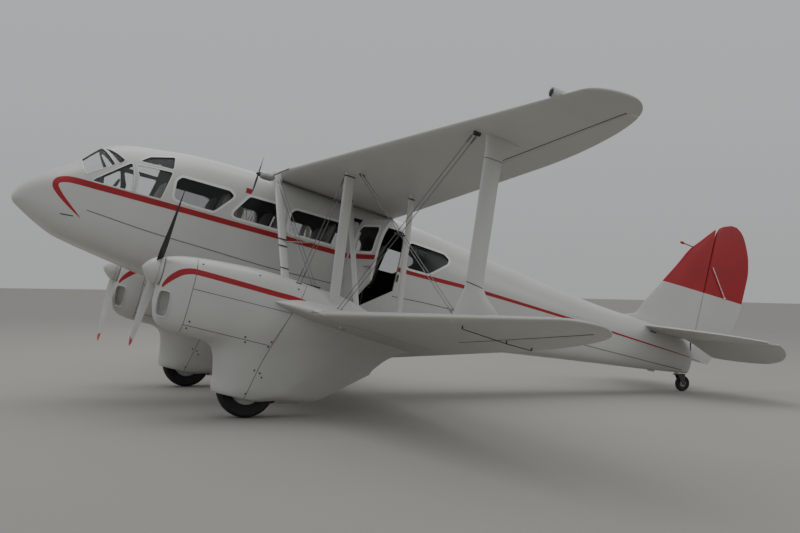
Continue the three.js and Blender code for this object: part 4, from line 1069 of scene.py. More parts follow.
def cockpit():
    """Dials and control wheel on the instrument board."""
    rims, faces = [], []
    for y, z, radius in DIALS:
        rear = BOARD["x"] + BOARD["lean"] * (BOARD["top"] - z) / BOARD["height"]
        rims.append(hoop(circle((rear + 1, y, z), radius, 40), 5.0))
        faces.append(tube([(rear - 2, y, z), (rear + 2, y, z)], radius - 3, 40))
    add("dial_rims", joined(*rims), steel, slot="steel")
    add("dial_faces", joined(*faces), joint_line, slot="steel")
    centre, radius = np.array(CONTROL_WHEEL["centre"]), CONTROL_WHEEL["radius"]
    up = np.array([math.sin(CONTROL_WHEEL["lean"]), 0, math.cos(CONTROL_WHEEL["lean"])])

    def on_wheel(turn, reach):
        return centre + reach * (math.cos(turn) * np.array([0, 1, 0]) + math.sin(turn) * up)

    rim = hoop([on_wheel(t, radius) for t in np.linspace(0, 2 * math.pi, 48, endpoint=False)], 13.0)
    spokes = [tube([centre, on_wheel(t, radius - 4)], 7, 10) for t in SPOKE_TURNS]
    column = tube([centre, *CONTROL_COLUMN], [16, 20, 22, 24], 16)
    add("control_wheel", joined(rim, *spokes, column), joint_line, slot="steel")


# Wings

ROOT = 700.0
INCIDENCE = math.radians(4.5)
CENTRE_HALF = 750.0
# Stations between which the fuselage is cut out of the wings' middle lengths
BODY_SPAN = (1500.0, 7000.0)
TIP_ROUNDNESS = 0.42
# Distance y, and how far the root fairing stands ahead of the leading edge
ROOT_FAIRING = [[2200, 407], [2300, 280], [2380, 150], [2450, 50], [2520, 0]]
WINGS = {
    "upper": {"lead": 2967, "level": 808, "chord": 1660, "sweep": 0.086, "dihedral": 0.042, "taper": 0.143,
              "front_turn": 7090, "rear_turn": 4900, "tip": 7320, "pole": 3850, "fairing": [[0, 0], [1, 0]]},
    "lower": {"lead": 3183, "level": -952, "chord": 1830, "sweep": 0.096, "dihedral": 0.052, "taper": 0.185,
              "front_turn": 7020, "rear_turn": 4900, "tip": 7285, "pole": 4050, "fairing": ROOT_FAIRING},
}
THICKNESS, CAMBER, CAMBER_PLACE, TRAILING_HALF = 0.115, 0.022, 0.35, 3.0
# Hinge line of each aileron: y and x of its inner and outer end
AILERONS = {
    "upper": [[4250, 4139], [7060, 3978]],
    "lower": [[4250, 4339], [7020, 4151]],
}
AILERON_END_GAP = 16.0
AILERON_PIN_RADIUS = 5.0
WING_STEPS = 30
# taper is how much of the housing's length the rounding takes up, bulge how far the lens stands out
LANDING_LAMP = {"y": 6780.0, "radius": 42.0, "length": 205.0, "reach": 58.0, "rise": 12.0, "taper": 0.86,
                "bulge": 14.0, "lens": 37.0}
JACK_PAD = {"radius": 45.0, "depth": 14.0, "y": 2370.0, "share": 0.3}


def tip_share(y, turn, tip):
    """Share of the full width that an edge keeps at y, as it rounds in from its turn to the tip."""
    beyond = min(max((y - turn) / (tip - turn), 0.0), 1.0)
    return (1 - beyond**2) ** TIP_ROUNDNESS


def fairing_share(wing, y):
    """How much of the sharp root fairing a wing has at a distance y, from 0 to 1."""
    places, reaches = zip(*wing["fairing"])
    return float(np.interp(y, places, reaches)) / ROOT_FAIRING[0][1] if y >= MAIN_WHEEL["y"] else 0.0


def planform(wing, y):
    """Leading edge, chord and level of a wing at a distance y from the centre line."""
    lead = wing["lead"] + wing["sweep"] * (y - ROOT)
    rear = lead + wing["chord"] - wing["taper"] * (y - ROOT)
    level = wing["level"] + wing["dihedral"] * (y - ROOT)
    ahead = fairing_share(wing, y) * ROOT_FAIRING[0][1]
    front = wing["pole"] - (wing["pole"] - lead) * tip_share(y, wing["front_turn"], wing["tip"]) - ahead
    back = wing["pole"] + (rear - wing["pole"]) * tip_share(y, wing["rear_turn"], wing["tip"])
    return front, back - front, level + ahead * math.tan(INCIDENCE)


def wing_points(wing, y, shares):
    """Upper and lower surface [x, z] points at shares of the chord."""
    front, chord, level = planform(wing, y)
    shares = np.asarray(shares, float)
    half = 5 * THICKNESS * (0.2969 * np.sqrt(shares) - 0.126 * shares - 0.3516 * shares**2
                            + 0.2843 * shares**3 - 0.1036 * shares**4)
    half = half * (1 - 0.6 * fairing_share(wing, y) * np.exp(-shares / 0.12))
    camber = np.where(
        shares < CAMBER_PLACE,
        CAMBER * shares * (2 * CAMBER_PLACE - shares) / CAMBER_PLACE**2,
        CAMBER * (1 - 2 * CAMBER_PLACE + 2 * CAMBER_PLACE * shares - shares**2) / (1 - CAMBER_PLACE) ** 2,
    )
    faces = []
    for face in (1, -1):
        up = chord * (camber + face * half) + face * TRAILING_HALF * shares
        along = shares * chord
        faces.append((front + along * math.cos(INCIDENCE) + up * math.sin(INCIDENCE),
                      level - along * math.sin(INCIDENCE) + up * math.cos(INCIDENCE)))
    return faces


def wing_ring(wing, y, side):
    shares = (1 - np.cos(np.pi * np.arange(WING_STEPS + 1) / WING_STEPS)) / 2
    upper, lower = (np.stack([x, np.full_like(x, side * abs(y)), z], axis=1)
                    for x, z in wing_points(wing, abs(y), shares))
    return np.vstack([upper[::-1], lower[1:]])


def wing_stops(wing, start, end=math.inf):
    """Distances at which a wing has a ring, close together at the root fairing and the round tip."""
    turn, tip = wing["rear_turn"], wing["tip"]
    stops = [*np.linspace(2200, 2520, 13), *np.arange(2600, turn, 150)]
    stops += [turn + (tip - turn) * math.sin(t) for t in np.linspace(0, math.pi / 2, 34)[:-1]]
    stops.append(turn + (tip - turn) * 0.9995)
    return [start, *(y for y in stops if start + 1 < y < end - 1), *([end] if end < math.inf else [])]


def wing_solid(wing, side, start):
    return solid(loft([wing_ring(wing, y, side) for y in wing_stops(wing, start)]))


def wing_middle(wing, half):
    """Length of a wing across the fuselage."""
    spots = np.linspace(-half, half, 16)
    return solid(loft([wing_ring(wing, max(abs(y), 1), 1 if y > 0 else -1) for y in spots]))


def hinge_middle(wing, y, x):
    """Level and half thickness of a wing at a distance y and a station x."""
    front, chord, _ = planform(wing, y)
    (_, top), (_, foot) = wing_points(wing, y, [(x - front) / (chord * math.cos(INCIDENCE))])
    return (top[0] + foot[0]) / 2, (top[0] - foot[0]) / 2


def hinge_zone(wing, ends, side, margin, end_margin):
    """Space swept behind a hinge line: round in front of it, open behind."""
    (y0, x0), (y1, x1) = ends
    slope = (x1 - x0) / (y1 - y0)
    rings = []
    for y in wing_stops(wing, y0 - end_margin, y1 + end_margin):
        x = x0 + slope * (y - y0)
        z, half = hinge_middle(wing, y, x)
        radius = half + margin
        turns = np.linspace(0, math.pi, 17)
        ring = [(x + 900, side * y, z + radius + 60)]
        ring += [(x - radius * math.sin(t), side * y, z + radius * math.cos(t)) for t in turns]
        ring.append((x + 900, side * y, z - radius - 60))
        rings.append(ring)
    return loft(rings)


def end_pins(inner, outer):
    """Hinge pins that reach from the ends of a surface to what carries it."""
    inner, outer = np.array(inner, float), np.array(outer, float)
    step = (outer - inner) / np.linalg.norm(outer - inner)
    reach, root = step * (AILERON_END_GAP - 2 * SEAT), step * 12
    return joined(tube([inner - reach, inner + root], AILERON_PIN_RADIUS),
                  tube([outer - root, outer + reach], AILERON_PIN_RADIUS))


def wings():
    for kind, half in (("upper", CENTRE_HALF), ("lower", MAIN_WHEEL["y"] - SEAT)):
        middle = cut(wing_middle(WINGS[kind], half), solid(fuselage_solid(*BODY_SPAN, -SEAT)))
        set_down(middle, f"{kind}_middle_skin", fabric_paint, nodes=[f"{kind}_centre_section"])
    for label, side in SIDES:
        for kind, start in (("upper", CENTRE_HALF + SEAT), ("lower", MAIN_WHEEL["y"] + SEAT)):
            wing, ends = WINGS[kind], AILERONS[kind]
            panel = wing_solid(wing, side, start)
            flap = copied(panel, "flap")
            cut(panel, solid(hinge_zone(wing, ends, side, PLAY, AILERON_END_GAP)))
            combine("INTERSECT", flap, solid(hinge_zone(wing, ends, side, 0, 0)))
            pins = end_pins(*((x, side * y, hinge_middle(wing, y, x)[0]) for y, x in ends))
            combine("UNION", flap, solid(pins))
            set_down(panel, f"{kind}_wing_skin_{label}", fabric_paint, nodes=[f"{kind}_wing_{label}"])
            aileron = f"{kind}_aileron_{label}"
            set_down(flap, f"{kind}_aileron_skin_{label}", fabric_paint, body=aileron, nodes=[aileron])
        landing_lamp(label, side)
        wing_details(label, side)


def landing_lamp(label, side):
    """Housing let into the leading edge of the upper wing, with a domed lens in a rim."""
    lamp = LANDING_LAMP
    front, _, level = planform(WINGS["upper"], lamp["y"])
    start = np.array([front - lamp["reach"], side * lamp["y"], level + lamp["rise"]])
    shares = np.linspace(0, 1, 14)
    line = [start + [lamp["length"] * share, 0, 0] for share in shares]
    shape = np.sqrt(np.clip(1 - (shares * lamp["taper"]) ** 2, 0, 1))
    add(f"lamp_housing_{label}", tube(line, lamp["radius"] * shape, 40), white_paint)
    rim = circle(start + [1, 0, 0], lamp["radius"] - 3, 40)
    add(f"lamp_rim_{label}", hoop(rim, 4.0), steel, slot="steel")
    dome = [[max(0.01, lamp["lens"] * math.sqrt(1 - (1 - share) ** 2)), -lamp["bulge"] * (1 - share)]
            for share in np.linspace(0, 1, 9)]
    glass = moved(lathe([*dome, [0.01, 3]], "x", 40), start)
    add(f"lamp_lens_{label}", glass, lamp_glass, slot="glazing")


# Control rod under the lower wing, and the line where its root panel ends, as [x, y] points
CONTROL_ROD = [[3785, 5376], [4246, 5351], [4496, 5368]]
ROOT_JOINT = [[3269, 2426], [3816, 2929], [4591, 2816]]
UPPER_SKIN, LOWER_SKIN = 0, 1


def on_wing(wing, side, x, y, skin, out):
    """Point on a wing's upper or lower skin at a station x and a distance y, stood off it by out."""
    front, chord, _ = planform(wing, y)
    share = min(max((x - front) / (chord * math.cos(INCIDENCE)), 0.0), 1.0)
    xs, zs = wing_points(wing, y, [share])[skin]
    return np.array([xs[0], side * y, zs[0] + (out if skin == UPPER_SKIN else -out)])


def wing_details(label, side):
    """Jacking pad, control rod and panel joint of the lower wing, and the gaps ahead of the ailerons."""
    wing = WINGS["lower"]
    foot = on_wing(wing, side, *jack_place(wing), LOWER_SKIN, 0)
    radius, depth = JACK_PAD["radius"], JACK_PAD["depth"]
    pad = tube([foot + [0, 0, rise] for rise in (25, 3 - depth, -depth)], [radius, radius, radius - 4], 40)
    add(f"jack_pad_{label}", pad, steel, slot="steel")
    rod = [on_wing(wing, side, x, y, LOWER_SKIN, 26) for x, y in CONTROL_ROD]
    posts = [tube([point + [0, 0, 40], point], 7) for point in rod]
    add(f"aileron_rod_{label}", joined(tube(rod, 4), *posts), dark_steel, slot="steel")
    joint = resampled(ROOT_JOINT, 60, closed=False)
    lines = [tube([on_wing(wing, side, x, y, skin, -1.5) for x, y in joint], 3.0, 8)
             for skin in (UPPER_SKIN, LOWER_SKIN)]
    add(f"root_joint_{label}", joined(*lines), seam_paint)
    gaps = []
    for kind, wing in WINGS.items():
        line = []
        for x, y in resampled([end[::-1] for end in AILERONS[kind]], 80, closed=False):
            _, half = hinge_middle(wing, y, x)
            line.append(on_wing(wing, side, x - half - PLAY - 5, y, LOWER_SKIN, -1.5))
        gaps.append(tube(line, 5.0, 8))
    add(f"aileron_gap_{label}", joined(*gaps), joint_line)


def jack_place(wing):
    """Station and distance of the jacking pad."""
    y = JACK_PAD["y"]
    _, (xs, _) = wing_points(wing, y, [JACK_PAD["share"]])
    return xs[0], y


# Nacelles, drawn about their own centre line

# Station x, half width, top, bottom
NACELLE = [
    [1668, 168, -660, -1180], [1682, 180, -652, -1240], [1715, 204, -638, -1339],
    [1820, 254, -606, -1415], [1950, 288, -580, -1443], [2300, 318, -545, -1448],
    [2800, 330, -522, -1465], [3150, 330, -535, -1400], [3450, 318, -558, -1300],
    [3800, 286, -592, -1220], [4300, 206, -745, -1120], [4860, 70, -935, -1012],
]
# Level z, front x, rear x, half width of the wheel fairing
FAIRING = [
    [-940, 2340, 4990, 262], [-1150, 2362, 4580, 262], [-1340, 2388, 4370, 256], [-1550, 2430, 4110, 244],
    [-1720, 2472, 3900, 232], [-1850, 2508, 3690, 222], [-1930, 2522, 3380, 208], [-1975, 2540, 3200, 190],
]
STREAMLINE = [
    [0, 0], [0.015, 0.36], [0.05, 0.62], [0.12, 0.84], [0.3, 1], [0.6, 0.88], [0.82, 0.5], [1, 0.05],
]
# Share of a nacelle's height where it is widest, and the powers of its curves above and below
NACELLE_WIDEST, NACELLE_POWERS = 0.42, (2.5, 3.0)
NACELLE_FRONT, NACELLE_REAR = 1668.0, 4860.0
COWL_SKIN = 22.0
BAY_FRONT, BAY_REAR, BAY_LEVEL = 1704.0, 2960.0, -1000.0
COWL_FLOOR = -1330.0
COWL_RING = 2000.0
# Rear edge of the cowling, leaning forward downwards
COWL_SEAM = {"x": 3118.0, "z": -972.0, "slope": 0.354}
WHEEL_WELL = {"radius": 352.0, "width": 225.0}
AXLE = {"radius": 30.0, "collar": 52.0, "hub": 82.3}
# turn is how far the intake's opening faces forward from straight out to port
INTAKE = {"x": 1757.0, "y": -165.0, "z": -1161.0, "half_length": 76.0, "half_height": 142.0, "turn": 27.0}
SHAFT_RADIUS = 34.0
FILLET = {"reach": 250.0, "below": -1000.0, "rounds": 220, "voxel": 13.0}
ENGINE_FRONT = 1850.0

streamline_half = curve(STREAMLINE, 1, lambda share: np.sqrt(np.maximum(share, 0)))
nacelle_blunt = from_start(NACELLE_FRONT)
nacelle_half, nacelle_top, nacelle_bottom = (curve(NACELLE, column, nacelle_blunt) for column in (1, 2, 3))
fairing_front, fairing_rear, fairing_half = (
    curve([[-row[0], *row[1:]] for row in FAIRING], column) for column in (1, 2, 3)
)


def nacelle_ring(x, inset):
    top, bottom = nacelle_top(x), nacelle_bottom(x)
    turns = np.linspace(0, 2 * math.pi, 361)[:-1]
    outline = superellipse(turns, nacelle_half(x) - inset, top - inset, bottom + inset,
                           top + NACELLE_WIDEST * (bottom - top), *NACELLE_POWERS)
    even = resampled(outline, 1.0)
    shares = np.linspace(0, len(even), 88, endpoint=False)
    across, up = (np.interp(shares, np.arange(len(even)), even[:, k]) for k in (0, 1))
    return np.stack([np.full_like(across, x), across, up], axis=1)


def nacelle_loft(inset=0.0, start=NACELLE_FRONT, end=NACELLE_REAR):
    near = NACELLE_FRONT + np.linspace(0, 1, 16) ** 2 * (COWL_RING - NACELLE_FRONT)
    far = np.linspace(COWL_RING, NACELLE_REAR, 50)[1:]
    stations = [x for x in [*near, *far] if start < x < end]
    return loft([nacelle_ring(x, inset) for x in [start, *stations, end]])


def mirrored(along, across, level, start, end=None):
    """Closed ring from one side of an outline; its other side keeps the points from start to end."""
    right = np.stack([along, across, level], axis=1)
    return np.vstack([right, (right * [1, -1, 1])[start:end][::-1]])


def streamlined(front, chord, half, steps):
    """Stations and half widths of a streamlined outline."""
    shares = (1 - np.cos(np.linspace(0, math.pi, steps + 1))) / 2
    return front + shares * chord, streamline_half(shares) * half


def fairing_ring(z):
    front, rear, half = fairing_front(-z), fairing_rear(-z), fairing_half(-z)
    x, across = streamlined(front, rear - front, half, 32)
    return mirrored(x, across, np.full_like(x, z), 1, -1)


def fairing_loft():
    return loft([fairing_ring(z) for z in np.linspace(FAIRING[-1][0], FAIRING[0][0], 44)])


def relaxed(piece, weights, rounds):
    """Smooths a mesh where the weights are above zero."""
    points = mesh_points(piece)
    edges = np.empty(len(piece.data.edges) * 2, int)
    piece.data.edges.foreach_get("vertices", edges)
    a, b = edges.reshape(-1, 2).T
    degree = np.bincount(np.concatenate([a, b]), minlength=len(points))[:, None]
    for _ in range(rounds):
        total = np.zeros_like(points)
        np.add.at(total, a, points[b])
        np.add.at(total, b, points[a])
        points += weights[:, None] * (total / degree - points)
    set_points(piece, points)


def nacelle_body():
    """Nacelle and wheel fairing grown together with a soft fillet where they meet."""
    body = combine("UNION", solid(nacelle_loft()), solid(fairing_loft()))
    evened(body, FILLET["voxel"])
    x, y, z = mesh_points(body).T
    inside = (x > NACELLE_FRONT + 50) & (x < NACELLE_REAR)
    top, bottom = nacelle_top(x), nacelle_bottom(x)
    middle = top + NACELLE_WIDEST * (bottom - top)
    reach = np.where(z >= middle, top - middle, middle - bottom)
    power = np.where(z >= middle, *NACELLE_POWERS)
    value = (np.abs(y) / nacelle_half(x)) ** power + (np.abs(z - middle) / reach) ** power
    nacelle_gap = np.abs(value ** (1 / power) - 1) * nacelle_half(x)
    level = np.clip(-z, -FAIRING[0][0], -FAIRING[-1][0])
    front, rear, half = fairing_front(level), fairing_rear(level), fairing_half(level)
    share = np.clip((x - front) / (rear - front), 0, 1)
    fairing_gap = np.abs(np.abs(y) - streamline_half(share) * half) + np.clip(front - x, 0, None)
    blend = np.clip(1 - np.maximum(nacelle_gap, fairing_gap) / FILLET["reach"], 0, 1)
    weights = np.where(inside & (z < FILLET["below"]), np.sqrt(blend), 0) * 0.9
    relaxed(body, np.maximum(weights, 0.12), 4)
    relaxed(body, weights, FILLET["rounds"])
    return body


def seam_x(z):
    """Station of the cowling's rear edge at a level."""
    return COWL_SEAM["x"] + COWL_SEAM["slope"] * (z - COWL_SEAM["z"])


def cowl_zone(grow):
    """Space that the cowling takes up, grown where the rest of the nacelle meets it."""
    zone = solid(block((0, -WIDE, -3 * WIDE), (COWL_RING + grow, WIDE, 0)))
    foot, start = COWL_FLOOR - grow, COWL_RING - 20
    panels = [[start, foot], [seam_x(foot) + grow, foot], [seam_x(0) + grow, 0], [start, 0]]
    return combine("UNION", zone, solid(prism(panels, -WIDE, WIDE)))


def intake_frame():
    """Middle of the intake, the way along it and the way out of it."""
    turn = math.radians(-INTAKE["turn"])
    middle = np.array([INTAKE[axis] for axis in "xyz"])
    along = np.array([math.cos(turn), math.sin(turn), 0])
    return middle, along, np.array([along[1], -along[0], 0])


def intake_ring(depth):
    """Ring round the intake at a depth below its middle."""
    middle, along, out = intake_frame()
    turns = np.linspace(0, 2 * math.pi, 72, endpoint=False)
    height = INTAKE["half_height"]
    mouth = superellipse(turns, INTAKE["half_length"], height, -height, 0, 4, 4)
    return np.array([middle + a * along + (0, 0, b) - depth * out for a, b in mouth])


# Intake duct: scale of the rim and depth along it, in on its inner face and out again on its outer one
DUCT = [
    [0.985, 2], [0.96, 45], [0.86, 90], [0.5, 108], [0.03, 112],
    [0.03, 118], [0.5, 114], [0.90, 97], [0.985, 50], [0.999, 4],
]


def intake(skin):
    """Lip round the intake's opening, and the duct behind it."""
    _, _, out = intake_frame()
    found = ((point, skin(point + out * 220, -out)[0]) for point in intake_ring(0.0))
    rim = np.array([point if where is None else where for point, where in found])
    middle = rim.mean(axis=0)
    rings = [middle + (rim - middle) * scale - out * depth for scale, depth in DUCT]
    return hoop(rim, 9.0), loft(rings, closed=True)


# Stripe along each side of a nacelle: x, z and half width
NACELLE_STRIPE = [
    [1690, -988, 8], [1703, -952, 16], [1736, -897, 26], [1786, -838, 32], [1850, -784, 33],
    [1940, -750, 32], [2050, -742, 31], [2450, -748, 30], [2900, -757, 29], [3150, -758, 26],
    [3330, -776, 19], [3450, -798, 11], [3560, -820, 2],
]
NACELLE_SEAMS = [
    [[2004, -1330], [2500, -1330], [2988, -1330]],
    [[3270, -545], [3200, -742], [3118, -972], [3017, -1311], [2953, -1545], [2872, -1962]],
    [[2004, -930], [2500, -927], [3130, -924]],
    [[2000, -585], [2000, -800], [2000, -1100], [2000, -1330], [1998, -1436]],
]
FASTENERS = [
    [2058, -1283], [2698, -1299], [3001, -1285], [2050, -1359], [2713, -1355], [2979, -1347], [2902, -1635],
    [2970, -1652], [3001, -1694], [2876, -1908], [2058, -640], [2700, -600], [3160, -640],
]


def nacelle_dressing(body):
    """Name, shape and material of a nacelle's stripe, seams, fasteners and intake, about its centre line."""
    seat_on = seated_on(body)
    lip, duct = intake(skin_of(body))
    line = flowing(NACELLE_STRIPE, 14.0)
    bands, seams, studs = [], [], []
    for side in (PORT, STARBOARD):
        bands.append(stripe(line[:, :2], line[:, 2], side, seat_on=seat_on))
        for points in NACELLE_SEAMS:
            seams.append(seam(resampled(points, 25, False), 3.5, side, 1.2, seat_on=seat_on))
        for point in FASTENERS:
            studs.append(tube([seat_on([point], side, out)[0] for out in (-3, 4)], 10.0, 16))
    return (
        ("nacelle_stripe", joined(*bands), red_paint), ("nacelle_seams", joined(*seams), seam_paint),
        ("nacelle_fasteners", joined(*studs), joint_line), ("intake_lip", lip, white_paint),
        ("intake_duct", duct, white_paint),
    )


def across_well(start, end, radius, sides=32):
    """Rod along the main wheel's axle line, in a nacelle drawn about its own centre line."""
    return tube([(MAIN_WHEEL["x"], y, MAIN_WHEEL["z"]) for y in (start, end)], radius, sides)


def nacelle_pieces(label, centre, cowl, body, dressing):
    """Sets down the pieces of the nacelle whose centre line is at y = centre."""
    half = WHEEL_WELL["width"] / 2

    def in_bay(point, normal):
        across, up = point.y - centre, point.z - BAY_LEVEL
        reach = math.hypot(across, up) * 0.25
        return normal.y * across + normal.z * up < -reach or (normal.x > 0.9 and point.x < BAY_FRONT + 20)

    def in_well(point, normal):
        reach = math.hypot(point.x - MAIN_WHEEL["x"], point.z - MAIN_WHEEL["z"])
        return reach < WHEEL_WELL["radius"] + 2 and abs(point.y - centre) < half + 2

    for piece, name, node, test in ((cowl, "cowl_skin", "cowling", in_bay),
                                    (body, "fairing_skin", "nacelle", in_well)):
        twin = copied(piece, name)
        twin.data.transform(Matrix.Translation((0, centre * MM, 0)))
        set_down(twin, f"{name}_{label}", [white_paint, duct_paint], nodes=[f"{node}_{label}"])
        paint_faces(twin, 1, test)
    axle = joined(across_well(-half - 10, half + 10, AXLE["radius"]),
                  *(across_well(end * AXLE["hub"], end * (half + 10), AXLE["collar"])
                    for end in (PORT, STARBOARD)))
    add(f"main_axle_{label}", moved(axle, (0, centre, 0)), dark_steel, slot="steel")
    for name, geometry, material in dressing:
        add(f"{name}_{label}", moved(geometry, (0, centre, 0)), material)


def nacelles():
    body = nacelle_body()
    dressing = nacelle_dressing(body)
    cowl = combine("INTERSECT", copied(body, "cowl"), cowl_zone(0))
    bay = solid(nacelle_loft(COWL_SKIN, BAY_FRONT, BAY_REAR))
    combine("INTERSECT", bay, solid(block((0, -WIDE, COWL_FLOOR + COWL_SKIN), (4 * WIDE, WIDE, 0))))
    hole = solid(loft([intake_ring(depth) for depth in (-150.0, 150.0)]))
    shaft = solid(tube([(1500, 0, THRUST_LINE), (1800, 0, THRUST_LINE)], SHAFT_RADIUS + PLAY, 32))
    cut(cowl, bay, hole, shaft)
    half = WHEEL_WELL["width"] / 2
    cut(body, cowl_zone(3.0), solid(across_well(-half, half, WHEEL_WELL["radius"], 72)))
    for label, side in SIDES:
        nacelle_pieces(label, side * MAIN_WHEEL["y"], cowl, body, dressing)
    bpy.data.objects.remove(cowl)
    bpy.data.objects.remove(body)


# Struts: their ends, chord and thickness
STRUTS = {
    "front_strut": {"top": [3395, INNER_STRUT_Y, 845], "bottom": [3608, INNER_STRUT_Y, -860],
                    "size": [125, 46]},
    "rear_strut": {"top": [4192, INNER_STRUT_Y, 800], "bottom": [4427, INNER_STRUT_Y, -900],
                   "size": [72, 34]},
    "front_brace": {"top": [2882, 800, 760], "bottom": [3066, 1760, -560], "size": [102, 38]},
    "rear_brace": {"top": [3852, 800, 760], "bottom": [3980, 2000, -900], "size": [72, 34]},
}
# Level z, centre x, chord of the outer strut
OUTER_STRUT = [
    [-760, 3888, 570], [-640, 3867, 472], [-560, 3851, 390], [-470, 3818, 256], [-375, 3796, 178],
    [-230, 3781, 170], [200, 3740, 172], [700, 3692, 178], [760, 3688, 184], [840, 3690, 218],
    [890, 3706, 286], [945, 3758, 436], [1010, 3796, 540],
]
OUTER_STRUT_THICKNESS = 50.0
# Collars on the struts: from one share of the length to another, and how far they stand out
BRACE_COLLARS = [[0.63, 0.642, 5.0], [0.692, 0.704, 5.0], [0.89, 0.90, 4.0]]
STRUT_FEET = [[0.05, 0.058, 5.0], [0.95, 0.958, 5.0]]
# Bands on the outer strut: lower and upper level, growth, slope
OUTER_BANDS = [[-381, -374, 2.5, -0.12], [739, 744, 1.5, 0.0]]
# Pressure head ahead of the port front strut, with the radius at each point
PRESSURE_HEAD = [[3003, -1434, -111], [3060, -1434, -98], [3370, -1434, -24], [3390, -1434, -19]]
PRESSURE_HEAD_RADII = [14, 9, 8, 13]


def strut_ring(x, y, z, chord, thickness, grow=0.0, slope=0.0):
    """Streamlined outline across a strut, grown all round; slope tips its rear edge up."""
    chord, thickness = chord + 2 * grow, thickness + 2 * grow
    along, across = streamlined(x - chord * 0.4, chord, thickness / 2, 16)
    return mirrored(along, across, z + slope * (along - x), 1, -1) + [0, y, 0]


outer_centre, outer_chord = curve(OUTER_STRUT, 1), curve(OUTER_STRUT, 2)


def straight_ring(spec, side, share, grow=0.0):
    """Ring of a straight strut at a share of its length down from the top."""
    top, bottom = (np.array(spec[end]) * [1, side, 1] for end in ("top", "bottom"))
    return strut_ring(*(top + (bottom - top) * share), *spec["size"], grow)


def outer_ring(side, z, grow=0.0, slope=0.0):
    """Ring of the outer strut at a level."""
    size = outer_chord(z), OUTER_STRUT_THICKNESS
    return strut_ring(outer_centre(z), side * OUTER_STRUT_Y, z, *size, grow, slope)


def struts():
    for label, side in SIDES:
        bands = []
        for name, spec in STRUTS.items():
            skin = loft([straight_ring(spec, side, share) for share in np.linspace(0, 1, 13)])
            add(f"{name}_skin_{label}", skin, white_paint, nodes=[f"{name}_{label}"])
            for first, last, grow in (BRACE_COLLARS if name == "front_brace" else STRUT_FEET):
                bands.append(loft([straight_ring(spec, side, share, grow) for share in (last, first)]))
        levels = np.linspace(OUTER_STRUT[0][0] + 15, OUTER_STRUT[-1][0] - 20, 70)
        skin = loft([outer_ring(side, z) for z in levels])
        add(f"outer_strut_skin_{label}", skin, white_paint, nodes=[f"outer_strut_{label}"])
        for low, high, grow, slope in OUTER_BANDS:
            bands.append(loft([outer_ring(side, z, grow, slope) for z in (low, high)]))
        add(f"strut_bands_{label}", joined(*bands), dark_steel, slot="steel")
        if side == PORT:
            add("pressure_head", tube(PRESSURE_HEAD, PRESSURE_HEAD_RADII, 16), steel, slot="steel")
        wires(label, side)


# Bracing wires, in close pairs: radius, how far from the strut's plane they run, spacing of a pair
WIRE = {"radius": 4.0, "outset": 55.0, "pitch": 44.0}
INNER_WIRE_Y = INNER_STRUT_Y + WIRE["outset"]
OUTER_WIRE_Y = OUTER_STRUT_Y - WIRE["outset"]
WIRE_RUNS = [
    [[3625, INNER_WIRE_Y, -830], [3520, OUTER_WIRE_Y, 960]],
    [[3490, INNER_WIRE_Y, 840], [3742, OUTER_WIRE_Y, -690]],
]
# Wires of the inner bay, from the fuselage's side of the upper wing and from the front strut
INNER_RUNS = [
    [[2882, 815, 740], [3515, 2075, -830]],
    [[3400, 2085, 800], [3165, 2029, -571]],
]
# Turnbuckle at each end of a wire: distances along it of where it swells and narrows, and its radius
TURNBUCKLE = {"spots": (71.5, 84.5, 175.5, 188.5), "radius": 9.5}
# Flat plates seen from the side: x and z of their corners, corner radius and half thickness
END_PLATE = {"corners": [(-34, -45), (34, -45), (34, 45), (-34, 45)], "radius": 14, "half": 10}
BRACKET = {"corners": [(-30, -12), (30, -12), (34, 26), (-34, 26)], "radius": 8, "half": 14}
BRACKET_PLACE = (3165, 2029, -590)


def nearest(first, second):
    """Nearest points of two straight lines, each given by two points."""
    a, b, c, d = (np.array(p, float) for p in (*first, *second))
    u, v, w = b - a, d - c, a - c
    spread = (u @ u) * (v @ v) - (u @ v) ** 2
    s = ((u @ v) * (v @ w) - (v @ v) * (u @ w)) / spread
    t = ((u @ u) * (v @ w) - (u @ v) * (u @ w)) / spread
    return a + u * s, c + v * t


def plate(place_at, corners, radius, half):
    """Flat plate with rounded corners."""
    return moved(prism(rounded(corners, radius, 4), -half, half), place_at)


def wire_web(runs, side, fittings):
    """Pairs of wires with a turnbuckle at each end, and the spreader at their crossing with end plates."""
    lines = [np.array(ends, float) * [1, side, 1] for ends in runs]
    rods = []
    for start, end in lines:
        along = (end - start) / np.linalg.norm(end - start)
        for across in (-WIRE["pitch"] / 2, WIRE["pitch"] / 2):
            shift = np.array([across, 0, 0])
            rods.append(tube([start + shift, end + shift], WIRE["radius"], 8))
            for origin, way in ((start, 1), (end, -1)):
                spots = [origin + shift + along * (way * reach) for reach in TURNBUCKLE["spots"]]
                swell = TURNBUCKLE["radius"]
                rods.append(tube(spots, [WIRE["radius"], swell, swell, WIRE["radius"]], 10))
    one, other = nearest(*lines)
    depth = abs(one[0] - other[0]) / 2 + WIRE["pitch"] / 2 + 12
    corners = [(-depth, -7), (depth, -7), (depth, 7), (-depth, 7)]
    plates = [plate((one + other) / 2, corners, 6, 24)]
    if fittings:
        plates += [plate(end, **END_PLATE) for _, end in lines]
    return joined(*rods), joined(*plates)


def wires(label, side):
    for name, runs, fittings, nodes in (("wires", WIRE_RUNS, True, [f"bracing_wires_{label}"]),
                                        ("inner_wires", INNER_RUNS, False, [])):
        rods, plates = wire_web(runs, side, fittings)
        add(f"{name}_{label}", rods, wire_steel, slot="steel", nodes=nodes)
        add(f"{name}_fittings_{label}", plates, dark_steel, slot="steel", nodes=nodes)
    bracket = plate(np.array(BRACKET_PLACE) * [1, side, 1], **BRACKET)
    add(f"wire_bracket_{label}", bracket, dark_steel, slot="steel")


